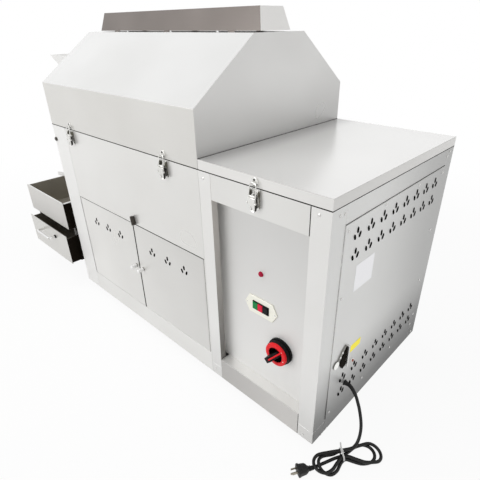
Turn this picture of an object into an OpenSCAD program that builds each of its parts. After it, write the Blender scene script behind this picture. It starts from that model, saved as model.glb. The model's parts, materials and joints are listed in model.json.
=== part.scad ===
// Drum roasting oven: a stainless cabinet with a hinged hood over a motor-driven drum,
// gas burners behind two doors, a control bay on the right and collecting boxes on the left.
// X runs along the cabinet, the front faces -Y, and the floor is at Z = 0.

/* [Cabinet] */
// Length of the cabinet
cab_l = 1140; // [1100:5:1200]
// Depth of the cabinet
cab_d = 585; // [570:5:620]
// Height of the cabinet's skirt above the floor
ground_gap = 24; // [20:1:28]
// Height of the hood and lid seam above the floor
seam_z = 660; // [650:5:680]
// Sheet thickness of panels
sheet = 2; // [1.5:0.1:2.5]
// Height of the front skirt
skirt_h = 73; // [65:1:80]
// Width of the left stile
stile_w = 94; // [80:1:100]
// Length of the control bay, from the hood's end to the cabinet's right end
bay_l = 368; // [360:1:375]
// Width of the middle post's face
mid_w = 41; // [38:1:50]
// Width of the right post's face
right_w = 47; // [44:1:52]
// Depth of the posts' faces into the control recess
post_return = 19; // [15:1:24]
// Width of the slim inner posts
inner_post = 24; // [20:1:28]
// Depth of the front posts along the sides
front_post_d = 50; // [46:1:56]
// Depth of the back posts along the sides
back_post_d = 45; // [40:1:50]
// Height of the top rails under the seam
rail_h = 30; // [24:1:34]
// Height of the frame's right bottom rail
side_rail_h = 60; // [54:1:66]

/* [Hood] */
// Height of the hood's upright front and back walls
hood_wall_h = 135; // [120:1:150]
// Height of the hood's flat top above the seam
hood_h = 277; // [260:1:300]
// Depth of each sloping side of the hood
slope_run = 196; // [185:1:200]
// Gap under the hood and the lid
seam_gap = 1; // [0.4:0.1:1.5]
// Gap between the hood and the lid
hood_gap = 1; // [0.6:0.1:2]
// Height of the vent cap
cap_h = 53; // [45:1:60]
// Inward taper of the vent cap on each side
cap_taper = 14; // [8:1:18]
// Gap under the vent cap
cap_gap = 3; // [2:0.5:6]
// Distance of the vent cap from the hood's ends
cap_end = 15; // [12:1:30]
// Depth of the vent cap at its foot
cap_d = 114; // [100:1:130]
// Thickness of the flat lid on the right
lid_t = 25; // [22:1:30]

/* [Hopper and chute] */
// Reach of the feed hopper beyond the hood
hopper_out = 142; // [120:1:160]
// Height of the hopper's lip above the seam
hopper_lip = 204; // [190:1:210]
// Height of the hopper's foot above the seam
hopper_foot = 126; // [120:1:140]
// Width of the hopper
hopper_w = 371; // [340:1:375]
// Reach of the discharge chute
chute_out = 300; // [270:5:310]
// Width of the discharge chute
chute_w = 400; // [380:1:405]
// Height of the chute's tip above the floor
chute_tip = 385; // [382:1:390]
// Rise of the chute's floor towards the cabinet
chute_rise = 45; // [30:1:46]
// Height of the chute's side walls
chute_wall = 16; // [12:1:20]

/* [Doors] */
// Height of the door opening
door_h = 320.5; // [300:0.5:330]
// Distance of the seam between the doors from the opening's middle
seam_shift = 6; // [0:0.5:10]
// Distance from the doors' right edge to the middle post
right_stile = 4; // [3:0.5:8]
// Gap around each door
door_gap = 1.2; // [0.5:0.1:2]
// Gap between the two doors
door_seam_gap = 3.6; // [1:0.2:5]
// Depth of the door's folded edges
door_d = 17; // [14:1:20]
// Radius of the door's hinge barrel
barrel_r = 4; // [3.5:0.1:5]
// Radius of the door pins
door_pin_r = 1.5; // [1.2:0.1:1.8]
// Length of the pin held in each barrel
door_pin_l = 6; // [4:0.5:9]
// Height of the door knobs above the door's foot
door_knob_z = 162; // [120:1:200]
// Distance from a door's free edge to its knob
door_knob_in = 17; // [12:1:30]
// Reach of the door knobs in front of the door
door_knob_out = 21; // [16:1:28]
// Radius of the door knobs
door_knob_r = 5.5; // [5:0.5:8]
// Distance of the catch from the seam between the doors
catch_shift = 15; // [8:1:30]
// Lean of the catch towards the seam
catch_lean = 8; // [0:1:12]
// Height of the door vents above the door's foot
door_vent_z = 244; // [220:1:260]
// Distance between door vents
door_vent_step = 77; // [60:1:80]

/* [Latches] */
// Height of the lever's pivot below the seam
latch_pivot = 20; // [18:1:22]
// Length of the lever below its pivot
lever_l = 29; // [26:1:32]
// Half width of the lever
lever_half = 7; // [6:0.5:7.5]
// Height of the bail above the seam
bail_up = 12; // [10:1:14]
// Distance of the left latch from the left end
latch_left = 139; // [130:1:150]
// Distance of the middle latch from the hood's right end
latch_mid_in = 131; // [120:1:140]
// Distance of the right latch from the cabinet's right end
latch_right_in = 187; // [180:1:195]
// Width of a latch's plate
latch_plate_w = 34; // [32:1:38]
// Height of a latch's plate
latch_plate_h = 39; // [36:1:42]
// Radius of the bail's wire
bail_r = 1.25; // [1:0.05:1.5]

/* [Running fits] */
// Radial clearance of a shaft or pin in its bore
run_fit = 0.05; // [0.03:0.01:0.08]
// Gap between parts that pass each other
side_gap = 0.3; // [0.3:0.05:0.5]

/* [Drum] */
// Outer radius of the drum
drum_r = 190; // [170:1:192]
// Height of the drum's axis below the seam
axis_drop = 36; // [34:1:40]
// Distance from the cabinet's left end to the drum
drum_x0 = 60; // [58:1:70]
// Distance from the drum to the bulkhead
drum_end_gap = 30; // [24:1:40]
// Inner radius of the drum's open left ring
drum_mouth_r = 165; // [150:1:168]
// Radius of the drum's shaft
shaft_r = 15; // [12:0.5:16]
// Height of the lifting blades
lifter_h = 38; // [30:1:45]
// Radius of the drum's pulley
drum_pulley_r = 28; // [26:0.5:29]
// Radius of the motor's pulley
motor_pulley_r = 24; // [20:0.5:28]
// Height of the motor's axis above the floor
motor_z = 190; // [180:1:200]
// Radius of the motor's body
motor_r = 48; // [42:1:52]
// Length of the motor's body
motor_l = 112; // [100:1:115]
// Length of the gearbox
gearbox_l = 70; // [60:1:72]
// Half width of the gearbox
gearbox_half = 45; // [40:1:50]
// Length of a shaft bearing
bearing_w = 24; // [20:1:26]
// Half width of a shaft bearing's foot
bearing_foot = 45; // [40:1:50]
// Half width of a shaft bearing's block
bearing_half = 26; // [24:1:28]

/* [Heating] */
// Gap between the drum and the heat shroud
shroud_gap = 15; // [10:1:20]
// Number of burner bars
burners = 3; // [2:1:4]
// Distance between burner bars
burner_step = 95; // [60:1:95]
// Radius of a burner bar
burner_r = 18; // [14:1:20]
// Height of the gas line above the floor
gas_z = 243; // [240:1:250]
// Radius of the gas pipe
gas_pipe_r = 8; // [6:0.5:9]
// Distance of the gas valve's knob from the front
gas_knob_y = 70; // [66:1:74]
// Diameter of the gas valve's knob
gas_knob_d = 26; // [22:1:28]
// Distance of the gas inlet from the front
inlet_y = 120; // [116:1:124]
// Height of the gas inlet's block
inlet_h = 62; // [56:1:68]
// Reach of the gas inlet's block beyond the side panel
inlet_out = 21; // [16:1:24]
// Distance of the reset collar from the front
reset_y = 155; // [148:1:160]
// Height of the reset collar above the floor
reset_z = 200; // [190:1:210]

/* [Controls] */
// Depth of the control panel behind the front face
recess = 31.5; // [28:0.5:34]
// Height of the apron under the lid
apron_h = 65; // [55:1:75]
// Height of the sill under the control panel
sill_h = 72; // [66:1:80]
// Distance of the switch plate's middle from the cabinet's right end
switch_in = 198; // [190:1:205]
// Height of the switch plate above the floor
switch_z = 333; // [325:1:340]
// Length of the switch plate
plate_l = 106; // [100:1:112]
// Height of the switch plate
plate_h = 52; // [48:1:56]
// Width of one push button
button_w = 16; // [14:0.5:17]
// Height of one push button
button_h = 20; // [18:0.5:22]
// Travel of a push button
button_travel = 3; // [2:0.5:4]
// Height of the pilot lamp above the floor
lamp_z = 432; // [425:1:440]
// Radius of the pilot lamp's lens
lamp_r = 6; // [5:0.5:8]
// Distance of the isolator's axis from the cabinet's right end
isolator_in = 132; // [125:1:140]
// Height of the isolator's axis above the floor
isolator_z = 233; // [228:1:240]
// Radius of the isolator's dial
dial_r = 34; // [30:0.5:36]
// Thickness of the isolator's base disc
base_t = 6; // [5:0.5:8]
// Thickness of the isolator's dial
dial_t = 13; // [10:0.5:15]
// Height of the grip in front of the dial
grip_t = 16; // [12:0.5:20]

/* [Side panel] */
// Height of the side panel's lower edge above the floor
side_z0 = 72; // [68:1:76]
// Height of the side panel's upper edge above the floor
side_z1 = 616; // [600:1:625]
// Number of vent clusters in a row
vent_count = 8; // [6:1:8]
// Distance between vent clusters
vent_step = 55.6; // [50:0.1:56]
// Distance of the first upper vent from the front
vent_y0 = 98; // [94:1:100]
// Shift of the lower rows from the upper rows
vent_shift = 13; // [0:1:16]
// Height of the lower pair of vent rows
low_vent_z = 125; // [120:1:130]
// Height of the upper pair of vent rows
high_vent_z = 533; // [520:1:540]
// Distance between the two rows of a pair
vent_row_step = 48; // [44:1:52]
// Length of a vent slot
vent_l = 13; // [10:0.5:14]
// Width of a vent slot
vent_w = 5; // [3:0.5:5.5]

/* [Hinges] */
// Radius of the hood and lid hinges' knuckles
knuckle_r = 6; // [5:0.5:7]
// Radius of the hinge pins
hinge_pin_r = 2.5; // [2:0.1:3]
// Length of one hinge
hinge_l = 60; // [50:2:70]
// Height of a hinge's lower leaf
hinge_leaf_h = 30; // [26:1:36]
// Distance of the outer hinges from the hood's left end
hinge_left = 150; // [140:1:160]
// Distance of the hood's right hinge from the hood's right end
hinge_right_in = 152; // [140:1:160]
// Distance of the lid's hinges from the lid's ends
lid_hinge_in = 95; // [85:1:100]

/* [Casters] */
// Diameter of a caster wheel
wheel_d = 50; // [48:1:52]
// Width of a caster wheel
wheel_w = 22; // [20:1:26]
// Trail of the swivel casters
trail = 16; // [14:1:18]
// Distance of the caster pivots from the cabinet's outer faces
caster_in = 50; // [50:1:60]
// Distance of the left casters from the cabinet's left end
caster_left = 155; // [60:5:160]
// Distance of the rear casters from the front
caster_rear = 485; // [470:5:530]
// Radius of the caster's kingpin
kingpin_r = 5; // [4:0.5:6]
// Radius of the wheel's axle
axle_r = 3; // [2.5:0.5:4]

/* [Collecting boxes] */
// Length of the rack along the cabinet
rack_l = 342; // [330:1:350]
// Depth of the rack
rack_d = 400; // [380:5:420]
// Gap between the rack and the cabinet
rack_gap = 28; // [24:1:34]
// Height of the upper box's foot above the floor
bin_z0 = 249; // [247:1:252]
// Height of the upper box
bin_h = 108; // [100:1:110]
// Distance the upper box is pulled out
bin_out = 21; // [16:1:30]
// Height of the drawer's foot above the floor
drawer_z0 = 101; // [98:1:104]
// Height of the drawer's front
drawer_h = 123; // [115:1:128]
// Distance the drawer is pulled out
drawer_out = 39; // [30:1:45]
// Length of the drawer's handle
pull_l = 118; // [100:1:130]
// Reach of the drawer's handle
pull_out = 26; // [22:1:32]

/* [Power cord] */
// Radius of the power cord
cord_r = 4.1; // [3.9:0.05:4.4]
// Distance of the cord's exit from the front
cord_y = 128; // [128:1:129]
// Height of the cord's exit above the floor
cord_z = 142; // [142:1:143]
// Length of the strain relief
relief_l = 14; // [12:1:20]

/* [Hidden] */
$fn = 64;

// Gap left between frame members, which the real frame fills with weld
weld_gap = 0.2;
// Small overshoot that lets a cut pass right through
over = 1;

// Heights
crown_z0 = wheel_d + 3;
crown_z1 = crown_z0 + 4;
mount_z0 = crown_z1 + side_gap;
pan_z0 = mount_z0 + 4;
pan_z1 = pan_z0 + sheet;
skirt_top = ground_gap + skirt_h;
sill_top = ground_gap + sill_h;
apron_z0 = seam_z - apron_h;
rail_z0 = seam_z - rail_h;
axis_z = seam_z - axis_drop;
axis_y = cab_d / 2;
hood_top = seam_z + hood_h;
lid_top = seam_z + lid_t;

// Positions along the cabinet
mid_x0 = cab_l - bay_l;
mid_x1 = mid_x0 + mid_w;
slim_x1 = mid_x0 + inner_post;
right_x0 = cab_l - right_w;
right_slim = cab_l - inner_post;
corner = 40;
back_y = cab_d - sheet;
back_post_y = cab_d - back_post_d;
side_rail_t = 3;
side_face = cab_l + sheet;
bulk_x0 = mid_x0 - sheet;
drum_x1 = bulk_x0 - drum_end_gap;
door_x1 = mid_x0 - right_stile;
door_seam = (stile_w + door_x1) / 2 + seam_shift;
switch_x = cab_l - switch_in;
isolator_x = cab_l - isolator_in;
door_z1 = skirt_top + door_h;

// Bearings and drive
bar_w = 30;
bearing_drop = 29;
bar_z1 = axis_z - bearing_drop;
bar_z0 = bar_z1 - bar_w;
right_bar_x0 = mid_x0 + sheet;
pulley_x0 = slim_x1 + 64;
pulley_w = 25;
flange_t = 3;
flange_h = 6;
belt_t = 7;
shaft_x1 = pulley_x0 + pulley_w + 20;
gearbox_x0 = pulley_x0 + pulley_w + 8;
motor_shaft_r = 10;

// Controls
panel_y1 = recess + sheet;
window_w = 3 * button_w + 4 * side_gap;
window_h = button_h + 2 * side_gap;
window_wall = 1.5;
dial_y1 = recess - base_t - side_gap;
dial_y0 = dial_y1 - dial_t;
grip_y0 = dial_y0 - grip_t;
isolator_shaft_r = 5;
gas_shaft_r = 3;
knob_x0 = side_face + 8;
knob_x1 = knob_x0 + 22;

// Latches, as distances along the cabinet and heights
latch_x = [latch_left, mid_x0 - latch_mid_in, cab_l - latch_right_in];
latch_y = -7;
latch_z = seam_z - latch_pivot;
bail_dy = -5;
bail_dz = -10;
strike_y = -4.5;
bail_bar_y = strike_y - 0.65 - bail_r;
bail_bar_z = seam_z + bail_up;
latch_pin_r = 2;
bail_pin_r = 1.2;
ear_t = 2;
eye_w = 2.4;

// Hinges along the back
hinge_y = cab_d + knuckle_r + 1;
hood_hinge_x = [hinge_left, mid_x0 - hinge_right_in];
lid_hinge_x = [mid_x0 + lid_hinge_in, cab_l - lid_hinge_in];

// Collecting boxes
rack_x1 = -rack_gap;
rack_x0 = rack_x1 - rack_l;
box_x0 = rack_x0 + sheet + side_gap;
box_x1 = rack_x1 - sheet - side_gap;
drawer_floor = drawer_z0 + 4;
drawer_top = drawer_z0 + drawer_h - 9;
rack_z0 = drawer_floor - side_gap - sheet;
rack_z1 = bin_z0 + bin_h - 12;
bin_y1 = rack_d - sheet - bin_out - 1;
drawer_y1 = rack_d - sheet - drawer_out - 1;
pull_r = 4;

// Chute and hopper
chute_z1 = chute_tip + chute_rise;
chute_y0 = axis_y - chute_w / 2;
hopper_y0 = axis_y - hopper_w / 2;

// The part's middle, measured without the cord
mid_x = (rack_x0 + knob_x1) / 2;
mid_y = (hinge_y + knuckle_r - drawer_out - pull_out - pull_r) / 2;

// The cord's route from the gland to the tied hank, chosen by hand
cord_route = [
    [1156, 128, 142], [1164, 126, 140], [1173, 123, 135], [1182, 120, 127], [1190, 116, 117],
    [1198, 112, 105], [1206, 107, 90], [1213, 102, 74], [1218, 96, 58], [1221, 88, 43],
    [1222, 79, 31], [1220, 70, 23], [1217, 61, 18]
];
cord_sides = 10;
cord_steps = 4;
// The hank's centre, length, width, height and direction on the floor
hank_at = [1220, 39];
hank_l = 184;
hank_w = 62;
hank_h = 24;
hank_turn = 52;
// The plug's neck and direction on the floor
plug_at = [1169, -35];
plug_turn = 240;

module at_origin() {
    translate([-mid_x, -mid_y, 0]) children();
}

module box(x0, x1, y0, y1, z0, z1) {
    translate([x0, y0, z0]) cube([x1 - x0, y1 - y0, z1 - z0]);
}

module rod_x(x0, x1, y, z, r) {
    translate([x0, y, z]) rotate([0, 90, 0]) cylinder(r = r, h = x1 - x0);
}

module rod_y(y0, y1, x, z, r) {
    translate([x, y1, z]) rotate([90, 0, 0]) cylinder(r = r, h = y1 - y0);
}

module rod_z(z0, z1, x, y, r) {
    translate([x, y, z0]) cylinder(r = r, h = z1 - z0);
}

module rod_between(p, q, r) {
    d = q - p;
    l = norm(d);
    translate(p) rotate([0, acos(d[2] / l), atan2(d[1], d[0])]) cylinder(r = r, h = l);
}

// A profile drawn in Y and Z, run along X
module along_x(x0, x1) {
    translate([x0, 0, 0]) rotate([90, 0, 90]) linear_extrude(x1 - x0) children();
}

// A profile drawn in X and Z, run along Y
module along_y(y0, y1) {
    translate([0, y1, 0]) rotate([90, 0, 0]) linear_extrude(y1 - y0) children();
}

module tube_box(x0, x1, y0, y1, z0, z1) {
    difference() {
        box(x0, x1, y0, y1, z0, z1);
        box(x0 + sheet, x1 - sheet, y0 + sheet, y1 - sheet, z0 - over, z1 - sheet);
    }
}

module tube_along_x(x0, x1, y0, y1, z0, z1) {
    difference() {
        box(x0, x1, y0, y1, z0, z1);
        box(x0 - over, x1 + over, y0 + sheet, y1 - sheet, z0 + sheet, z1 - sheet);
    }
}

module tube_along_y(x0, x1, y0, y1, z0, z1) {
    difference() {
        box(x0, x1, y0, y1, z0, z1);
        box(x0 + sheet, x1 - sheet, y0 - over, y1 + over, z0 + sheet, z1 - sheet);
    }
}

// A slot with round ends, standing upright
module slot() {
    h = (vent_l - vent_w) / 2;
    square([vent_w, 2 * h], center = true);
    translate([0, h]) circle(vent_w / 2);
    translate([0, -h]) circle(vent_w / 2);
}

// Three slots spread like a small leaf
module leaf() {
    lean = 24;
    spread = 10;
    rise = 13;
    translate([0, rise]) slot();
    translate([-spread, 0]) rotate(lean) slot();
    translate([spread, 0]) rotate(-lean) slot();
}

// Posts: each has a tube above the pan, and plates below it down to the skirt's edge
module mid_front_post() {
    box(mid_x0, mid_x1, 0, sheet, ground_gap, pan_z1 - weld_gap);
    difference() {
        union() {
            box(mid_x0, mid_x1, 0, post_return, pan_z1, seam_z);
            box(mid_x0, slim_x1, post_return, front_post_d, pan_z1, seam_z);
        }
        box(mid_x0 + sheet, mid_x1 - sheet, sheet, post_return - sheet, pan_z1 - over, seam_z - sheet);
        box(mid_x0 + sheet, slim_x1 - sheet, sheet, front_post_d - sheet, pan_z1 - over, seam_z - sheet);
    }
}

module right_front_post() {
    box(right_x0, cab_l, 0, sheet, ground_gap, pan_z1 - weld_gap);
    box(cab_l - sheet, cab_l, sheet + weld_gap, front_post_d, ground_gap, pan_z1 - weld_gap);
    difference() {
        union() {
            box(right_x0, cab_l, 0, post_return, pan_z1, seam_z);
            box(right_slim, cab_l, post_return, front_post_d, pan_z1, seam_z);
        }
        box(right_x0 + sheet, cab_l - sheet, sheet, post_return - sheet, pan_z1 - over, seam_z - sheet);
        box(right_slim + sheet, cab_l - sheet, sheet, front_post_d - sheet, pan_z1 - over, seam_z - sheet);
    }
}

module right_back_post() {
    box(right_x0, cab_l, back_y, cab_d, ground_gap, pan_z1 - weld_gap);
    box(cab_l - sheet, cab_l, back_post_y, back_y - weld_gap, ground_gap, pan_z1 - weld_gap);
    tube_box(right_x0, cab_l, back_post_y, cab_d, pan_z1, seam_z);
}

module frame() {
    post_z0 = pan_z1;
    g = weld_gap;
    color("lightgray") at_origin() {
        tube_box(sheet, sheet + corner, sheet, sheet + corner, post_z0, seam_z);
        tube_box(sheet, sheet + corner, back_y - corner, back_y, post_z0, seam_z);
        mid_front_post();
        tube_box(mid_x0, slim_x1, back_post_y, back_y, post_z0, seam_z);
        right_front_post();
        right_back_post();
        tube_along_x(sheet + corner + g, bulk_x0 - g, sheet, sheet + rail_h, rail_z0, seam_z);
        tube_along_x(sheet + corner + g, bulk_x0 - g, back_y - rail_h, back_y, rail_z0, seam_z);
        tube_along_x(slim_x1 + g, right_x0 - g, back_y - rail_h, back_y, rail_z0, seam_z);
        tube_along_y(right_slim, cab_l, front_post_d + g, back_post_y - g, side_z1 - 15, seam_z);
        box(cab_l - side_rail_t, cab_l, front_post_d + g, back_post_y - g,
            ground_gap, ground_gap + side_rail_h);
        tube_along_y(sheet, sheet + bar_w, sheet + corner + g, back_y - corner - g, bar_z0, bar_z1);
        tube_along_y(right_bar_x0, slim_x1, front_post_d + g, back_post_y - g, bar_z0, bar_z1);
        box(mid_x1 + g, right_x0 - g, 0, sheet, ground_gap, sill_top);
        box(mid_x1 + g, right_x0 - g, sheet + g, panel_y1, sill_top - sheet, sill_top);
    }
}

module base_pan() {
    color("silver") at_origin()
        box(sheet, cab_l - side_rail_t, sheet, back_y, pan_z0, pan_z1);
}

module front_panel() {
    color("gainsboro") at_origin() difference() {
        box(0, mid_x0 - weld_gap, 0, sheet, ground_gap, seam_z);
        box(stile_w, door_x1, -over, sheet + over, skirt_top, door_z1);
    }
}

module back_panel() {
    cluster_x = right_x0 - 1.5 * vent_step;
    color("gainsboro") at_origin() difference() {
        box(0, right_x0 - weld_gap, back_y, cab_d, ground_gap, seam_z);
        for (i = [0 : 3]) for (z = [0, vent_row_step])
            translate([cluster_x - i * vent_step, cab_d + over, low_vent_z + 31 + z])
                rotate([90, 0, 0]) linear_extrude(sheet + 2 * over) leaf();
    }
}

module left_end_panel() {
    color("silver") at_origin() difference() {
        box(0, sheet, sheet, back_y, ground_gap, seam_z);
        box(-over, sheet + over, chute_y0 + 18, cab_d - chute_y0 - 18, chute_z1 + 3, bar_z0 - 45);
    }
}

module bulkhead() {
    color("silver") at_origin() difference() {
        box(bulk_x0, mid_x0, sheet, back_y, pan_z1, seam_z - side_gap);
        rod_x(bulk_x0 - over, mid_x0 + over, axis_y, axis_z, shaft_r + 3);
        rod_x(bulk_x0 - over, mid_x0 + over, inlet_y, gas_z, gas_pipe_r + side_gap);
    }
}

module control_panel() {
    half_w = window_w / 2 + window_wall + side_gap;
    half_h = window_h / 2 + window_wall + side_gap;
    color("gainsboro") at_origin() difference() {
        box(slim_x1 + side_gap, right_slim - side_gap, recess, panel_y1, sill_top, seam_z - 1);
        rod_y(recess - over, panel_y1 + over, isolator_x, isolator_z, 12);
        rod_y(recess - over, panel_y1 + over, switch_x, lamp_z, lamp_r + 1);
        box(switch_x - half_w, switch_x + half_w, recess - over, panel_y1 + over,
            switch_z - half_h, switch_z + half_h);
    }
}

module apron() {
    color("gainsboro") at_origin() along_x(mid_x1 + weld_gap, right_x0 - weld_gap) polygon([
        [0, apron_z0], [recess, apron_z0], [recess, apron_z0 + sheet], [sheet, apron_z0 + sheet],
        [sheet, seam_z - sheet], [recess, seam_z - sheet], [recess, seam_z], [0, seam_z]
    ]);
}

module side_panel() {
    color("gainsboro") at_origin() difference() {
        box(cab_l, side_face, front_post_d, back_post_y, side_z0, side_z1);
        for (i = [0 : vent_count - 1]) for (row = [0, vent_row_step]) {
            side_leaf(vent_y0 + i * vent_step, high_vent_z + row);
            side_leaf(vent_y0 + vent_shift + i * vent_step, low_vent_z + row);
        }
        rod_x(cab_l - over, side_face + over, cord_y, cord_z, 8);
        rod_x(cab_l - over, side_face + over, gas_knob_y, gas_z, gas_shaft_r + side_gap);
    }
}

module side_leaf(y, z) {
    translate([cab_l - over, y, z - 4]) rotate([90, 0, 90]) linear_extrude(sheet + 2 * over) leaf();
}

module heat_shroud() {
    r = drum_r + shroud_gap;
    mouth = 0.45 * r;
    end_gap = 4;
    color("dimgray") at_origin() difference() {
        union() {
            difference() {
                rod_x(drum_x0 + 2, bulk_x0 - end_gap, axis_y, axis_z, r + sheet);
                rod_x(drum_x0, bulk_x0, axis_y, axis_z, r);
                box(0, mid_x0, 0, cab_d, rail_z0, hood_top);
            }
            box(drum_x0 + 2, bulk_x0 - end_gap, sheet + 18, axis_y - r, rail_z0 - sheet, rail_z0);
            box(drum_x0 + 2, bulk_x0 - end_gap, axis_y + r, back_y - 18, rail_z0 - sheet, rail_z0);
        }
        box(drum_x0 + 40, bulk_x0 - 40, axis_y - mouth, axis_y + mouth, axis_z - r - 2 * sheet, axis_z - r / 2);
    }
}

module gas_line() {
    bar_x0 = drum_x0 + 40;
    bar_x1 = bulk_x0 - 40;
    manifold_x = bulk_x0 - 25;
    valve_y1 = inlet_y + gas_pipe_r;
    last_y = axis_y + (burners - 1) / 2 * burner_step;
    leg_x = bar_x0 + 20;
    color("goldenrod") at_origin() difference() {
        union() {
            for (i = [0 : burners - 1]) {
                y = axis_y + (i - (burners - 1) / 2) * burner_step;
                rod_x(bar_x0, bar_x1, y, gas_z, burner_r);
                rod_x(bar_x1, manifold_x, y, gas_z, gas_pipe_r);
                box(leg_x, leg_x + 12, y - 4, y + 4, pan_z1, gas_z - burner_r + 2);
            }
            rod_y(inlet_y, last_y + 12, manifold_x, gas_z, gas_pipe_r);
            rod_x(manifold_x - gas_pipe_r, right_slim, inlet_y, gas_z, gas_pipe_r);
            box(right_slim, cab_l, gas_knob_y - 14, valve_y1, gas_z - 15, gas_z + 15);
        }
        rod_x(right_slim + 6, cab_l + over, gas_knob_y, gas_z, gas_shaft_r + run_fit);
        // Rows of flame ports along the top of each burner bar
        for (i = [0 : burners - 1]) {
            y = axis_y + (i - (burners - 1) / 2) * burner_step;
            box(bar_x0 + 30, bar_x1 - 30, y - 2, y + 2, gas_z + burner_r - 6, gas_z + burner_r + over);
        }
    }
}

module gas_inlet() {
    color("dimgray") at_origin() {
        box(side_face, side_face + inlet_out, inlet_y - 6, inlet_y + 6, gas_z - inlet_h / 2, gas_z + inlet_h / 2);
        rod_x(side_face, side_face + inlet_out / 2, reset_y, reset_z, 7);
    }
}

module bearing(x0, x1) {
    difference() {
        union() {
            box(x0, x1, axis_y - bearing_foot, axis_y + bearing_foot, bar_z1, bar_z1 + 9);
            box(x0, x1, axis_y - bearing_half, axis_y + bearing_half, bar_z1, axis_z);
            rod_x(x0, x1, axis_y, axis_z, shaft_r + 11);
        }
        rod_x(x0 - over, x1 + over, axis_y, axis_z, shaft_r + run_fit);
    }
}

module shaft_bearings() {
    color("steelblue") at_origin() {
        bearing(sheet + 4, sheet + 4 + bearing_w);
        bearing(right_bar_x0 + 1, right_bar_x0 - 3 + bearing_w);
    }
}

module gear_motor() {
    x1 = gearbox_x0 + gearbox_l;
    color("slategray") at_origin() difference() {
        union() {
            box(gearbox_x0, x1, axis_y - gearbox_half, axis_y + gearbox_half, motor_z - 50, motor_z + 50);
            rod_x(x1, x1 + motor_l, axis_y, motor_z, motor_r);
            box(gearbox_x0, x1 + motor_l - 20, axis_y - 40, axis_y + 40, pan_z1, pan_z1 + 8);
            box(gearbox_x0 + 10, x1 - 10, axis_y - 35, axis_y + 35, pan_z1 + 8, motor_z - 50);
            box(x1 + 30, x1 + 70, axis_y - 30, axis_y + 30, pan_z1 + 8, motor_z - 30);
        }
        rod_x(gearbox_x0 - over, gearbox_x0 + 34, axis_y, motor_z, motor_shaft_r + run_fit);
    }
}

// The belt's outline round both pulleys, grown by a distance from their grooves
module belt_outline(grow) {
    d = axis_z - motor_z;
    lean = asin((drum_pulley_r - motor_pulley_r) / d);
    r1 = drum_pulley_r + grow;
    r2 = motor_pulley_r + grow;
    c = cos(lean);
    s = sin(lean);
    translate([axis_y, axis_z]) circle(r1);
    translate([axis_y, motor_z]) circle(r2);
    polygon([
        [axis_y + r1 * c, axis_z + r1 * s], [axis_y + r2 * c, motor_z + r2 * s],
        [axis_y - r2 * c, motor_z + r2 * s], [axis_y - r1 * c, axis_z + r1 * s]
    ]);
}

module drive_belt() {
    x0 = pulley_x0 + flange_t + 1;
    x1 = pulley_x0 + pulley_w - flange_t - 1;
    color("black") at_origin() along_x(x0, x1) difference() {
        belt_outline(side_gap + belt_t);
        belt_outline(side_gap);
    }
}

module pulley(y, z, r) {
    x1 = pulley_x0 + pulley_w;
    rod_x(pulley_x0, x1, y, z, r);
    rod_x(pulley_x0, pulley_x0 + flange_t, y, z, r + flange_h);
    rod_x(x1 - flange_t, x1, y, z, r + flange_h);
}

module pilot_lamp() {
    color("red") at_origin() {
        rod_y(recess - 7, recess, switch_x, lamp_z, lamp_r);
        rod_y(recess - 2.5, recess, switch_x, lamp_z, lamp_r + 2);
        rod_y(recess, panel_y1 + 24, switch_x, lamp_z, lamp_r + 0.5);
    }
}

module switch_plate() {
    half_w = window_w / 2 + window_wall + side_gap;
    half_h = window_h / 2 + window_wall + side_gap;
    point = 15;
    l = plate_l / 2;
    h = plate_h / 2;
    color("ivory") at_origin() difference() {
        along_y(recess - 3, recess) translate([switch_x, switch_z]) polygon([
            [-l, 0], [-l + point, h], [l - point, h], [l, 0], [l - point, -h], [-l + point, -h]
        ]);
        box(switch_x - half_w, switch_x + half_w, recess - 4, recess + over,
            switch_z - half_h, switch_z + half_h);
    }
}

module switch_body() {
    half_w = window_w / 2;
    half_h = window_h / 2;
    w = window_wall;
    color("black") at_origin() difference() {
        union() {
            box(switch_x - half_w - w, switch_x + half_w + w, recess - 5, panel_y1 + 36,
                switch_z - half_h - w, switch_z + half_h + w);
            box(switch_x - half_w - 4, switch_x + half_w + 4, panel_y1, panel_y1 + 36,
                switch_z - half_h - 4, switch_z + half_h + 4);
        }
        box(switch_x - half_w, switch_x + half_w, recess - 6, recess + 12,
            switch_z - half_h, switch_z + half_h);
    }
}

module button(i) {
    x0 = switch_x - window_w / 2 + side_gap + i * (button_w + side_gap);
    at_origin()
        box(x0, x0 + button_w, recess - 7, recess + 12 - side_gap - button_travel,
            switch_z - button_h / 2, switch_z + button_h / 2);
}

module isolator_base() {
    color("black") at_origin() difference() {
        union() {
            rod_y(recess - base_t, recess, isolator_x, isolator_z, dial_r + 2);
            rod_y(recess, panel_y1, isolator_x, isolator_z, 11.5);
            box(isolator_x - 30, isolator_x + 30, panel_y1, panel_y1 + 48, isolator_z - 32, isolator_z + 32);
        }
        rod_y(recess - base_t - over, panel_y1 + 14, isolator_x, isolator_z, isolator_shaft_r + run_fit);
    }
}

module isolator_dial() {
    color("crimson") at_origin() {
        rod_y(dial_y0, dial_y1, isolator_x, isolator_z, dial_r);
        box(isolator_x - 7, isolator_x + 7, grip_y0, dial_y0, isolator_z - dial_r + 4, isolator_z + dial_r - 4);
        rod_y(dial_y1, panel_y1 + 12, isolator_x, isolator_z, isolator_shaft_r);
    }
}

module cord_gland() {
    color("black") at_origin() {
        rod_x(side_face, side_face + 4, cord_y, cord_z, 11);
        rod_x(cab_l - 10, side_face, cord_y, cord_z, 7.5);
        translate([side_face + 4, cord_y, cord_z]) rotate([0, 90, 0])
            cylinder(r1 = 8, r2 = cord_r + 0.6, h = relief_l - 4);
    }
}

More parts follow.
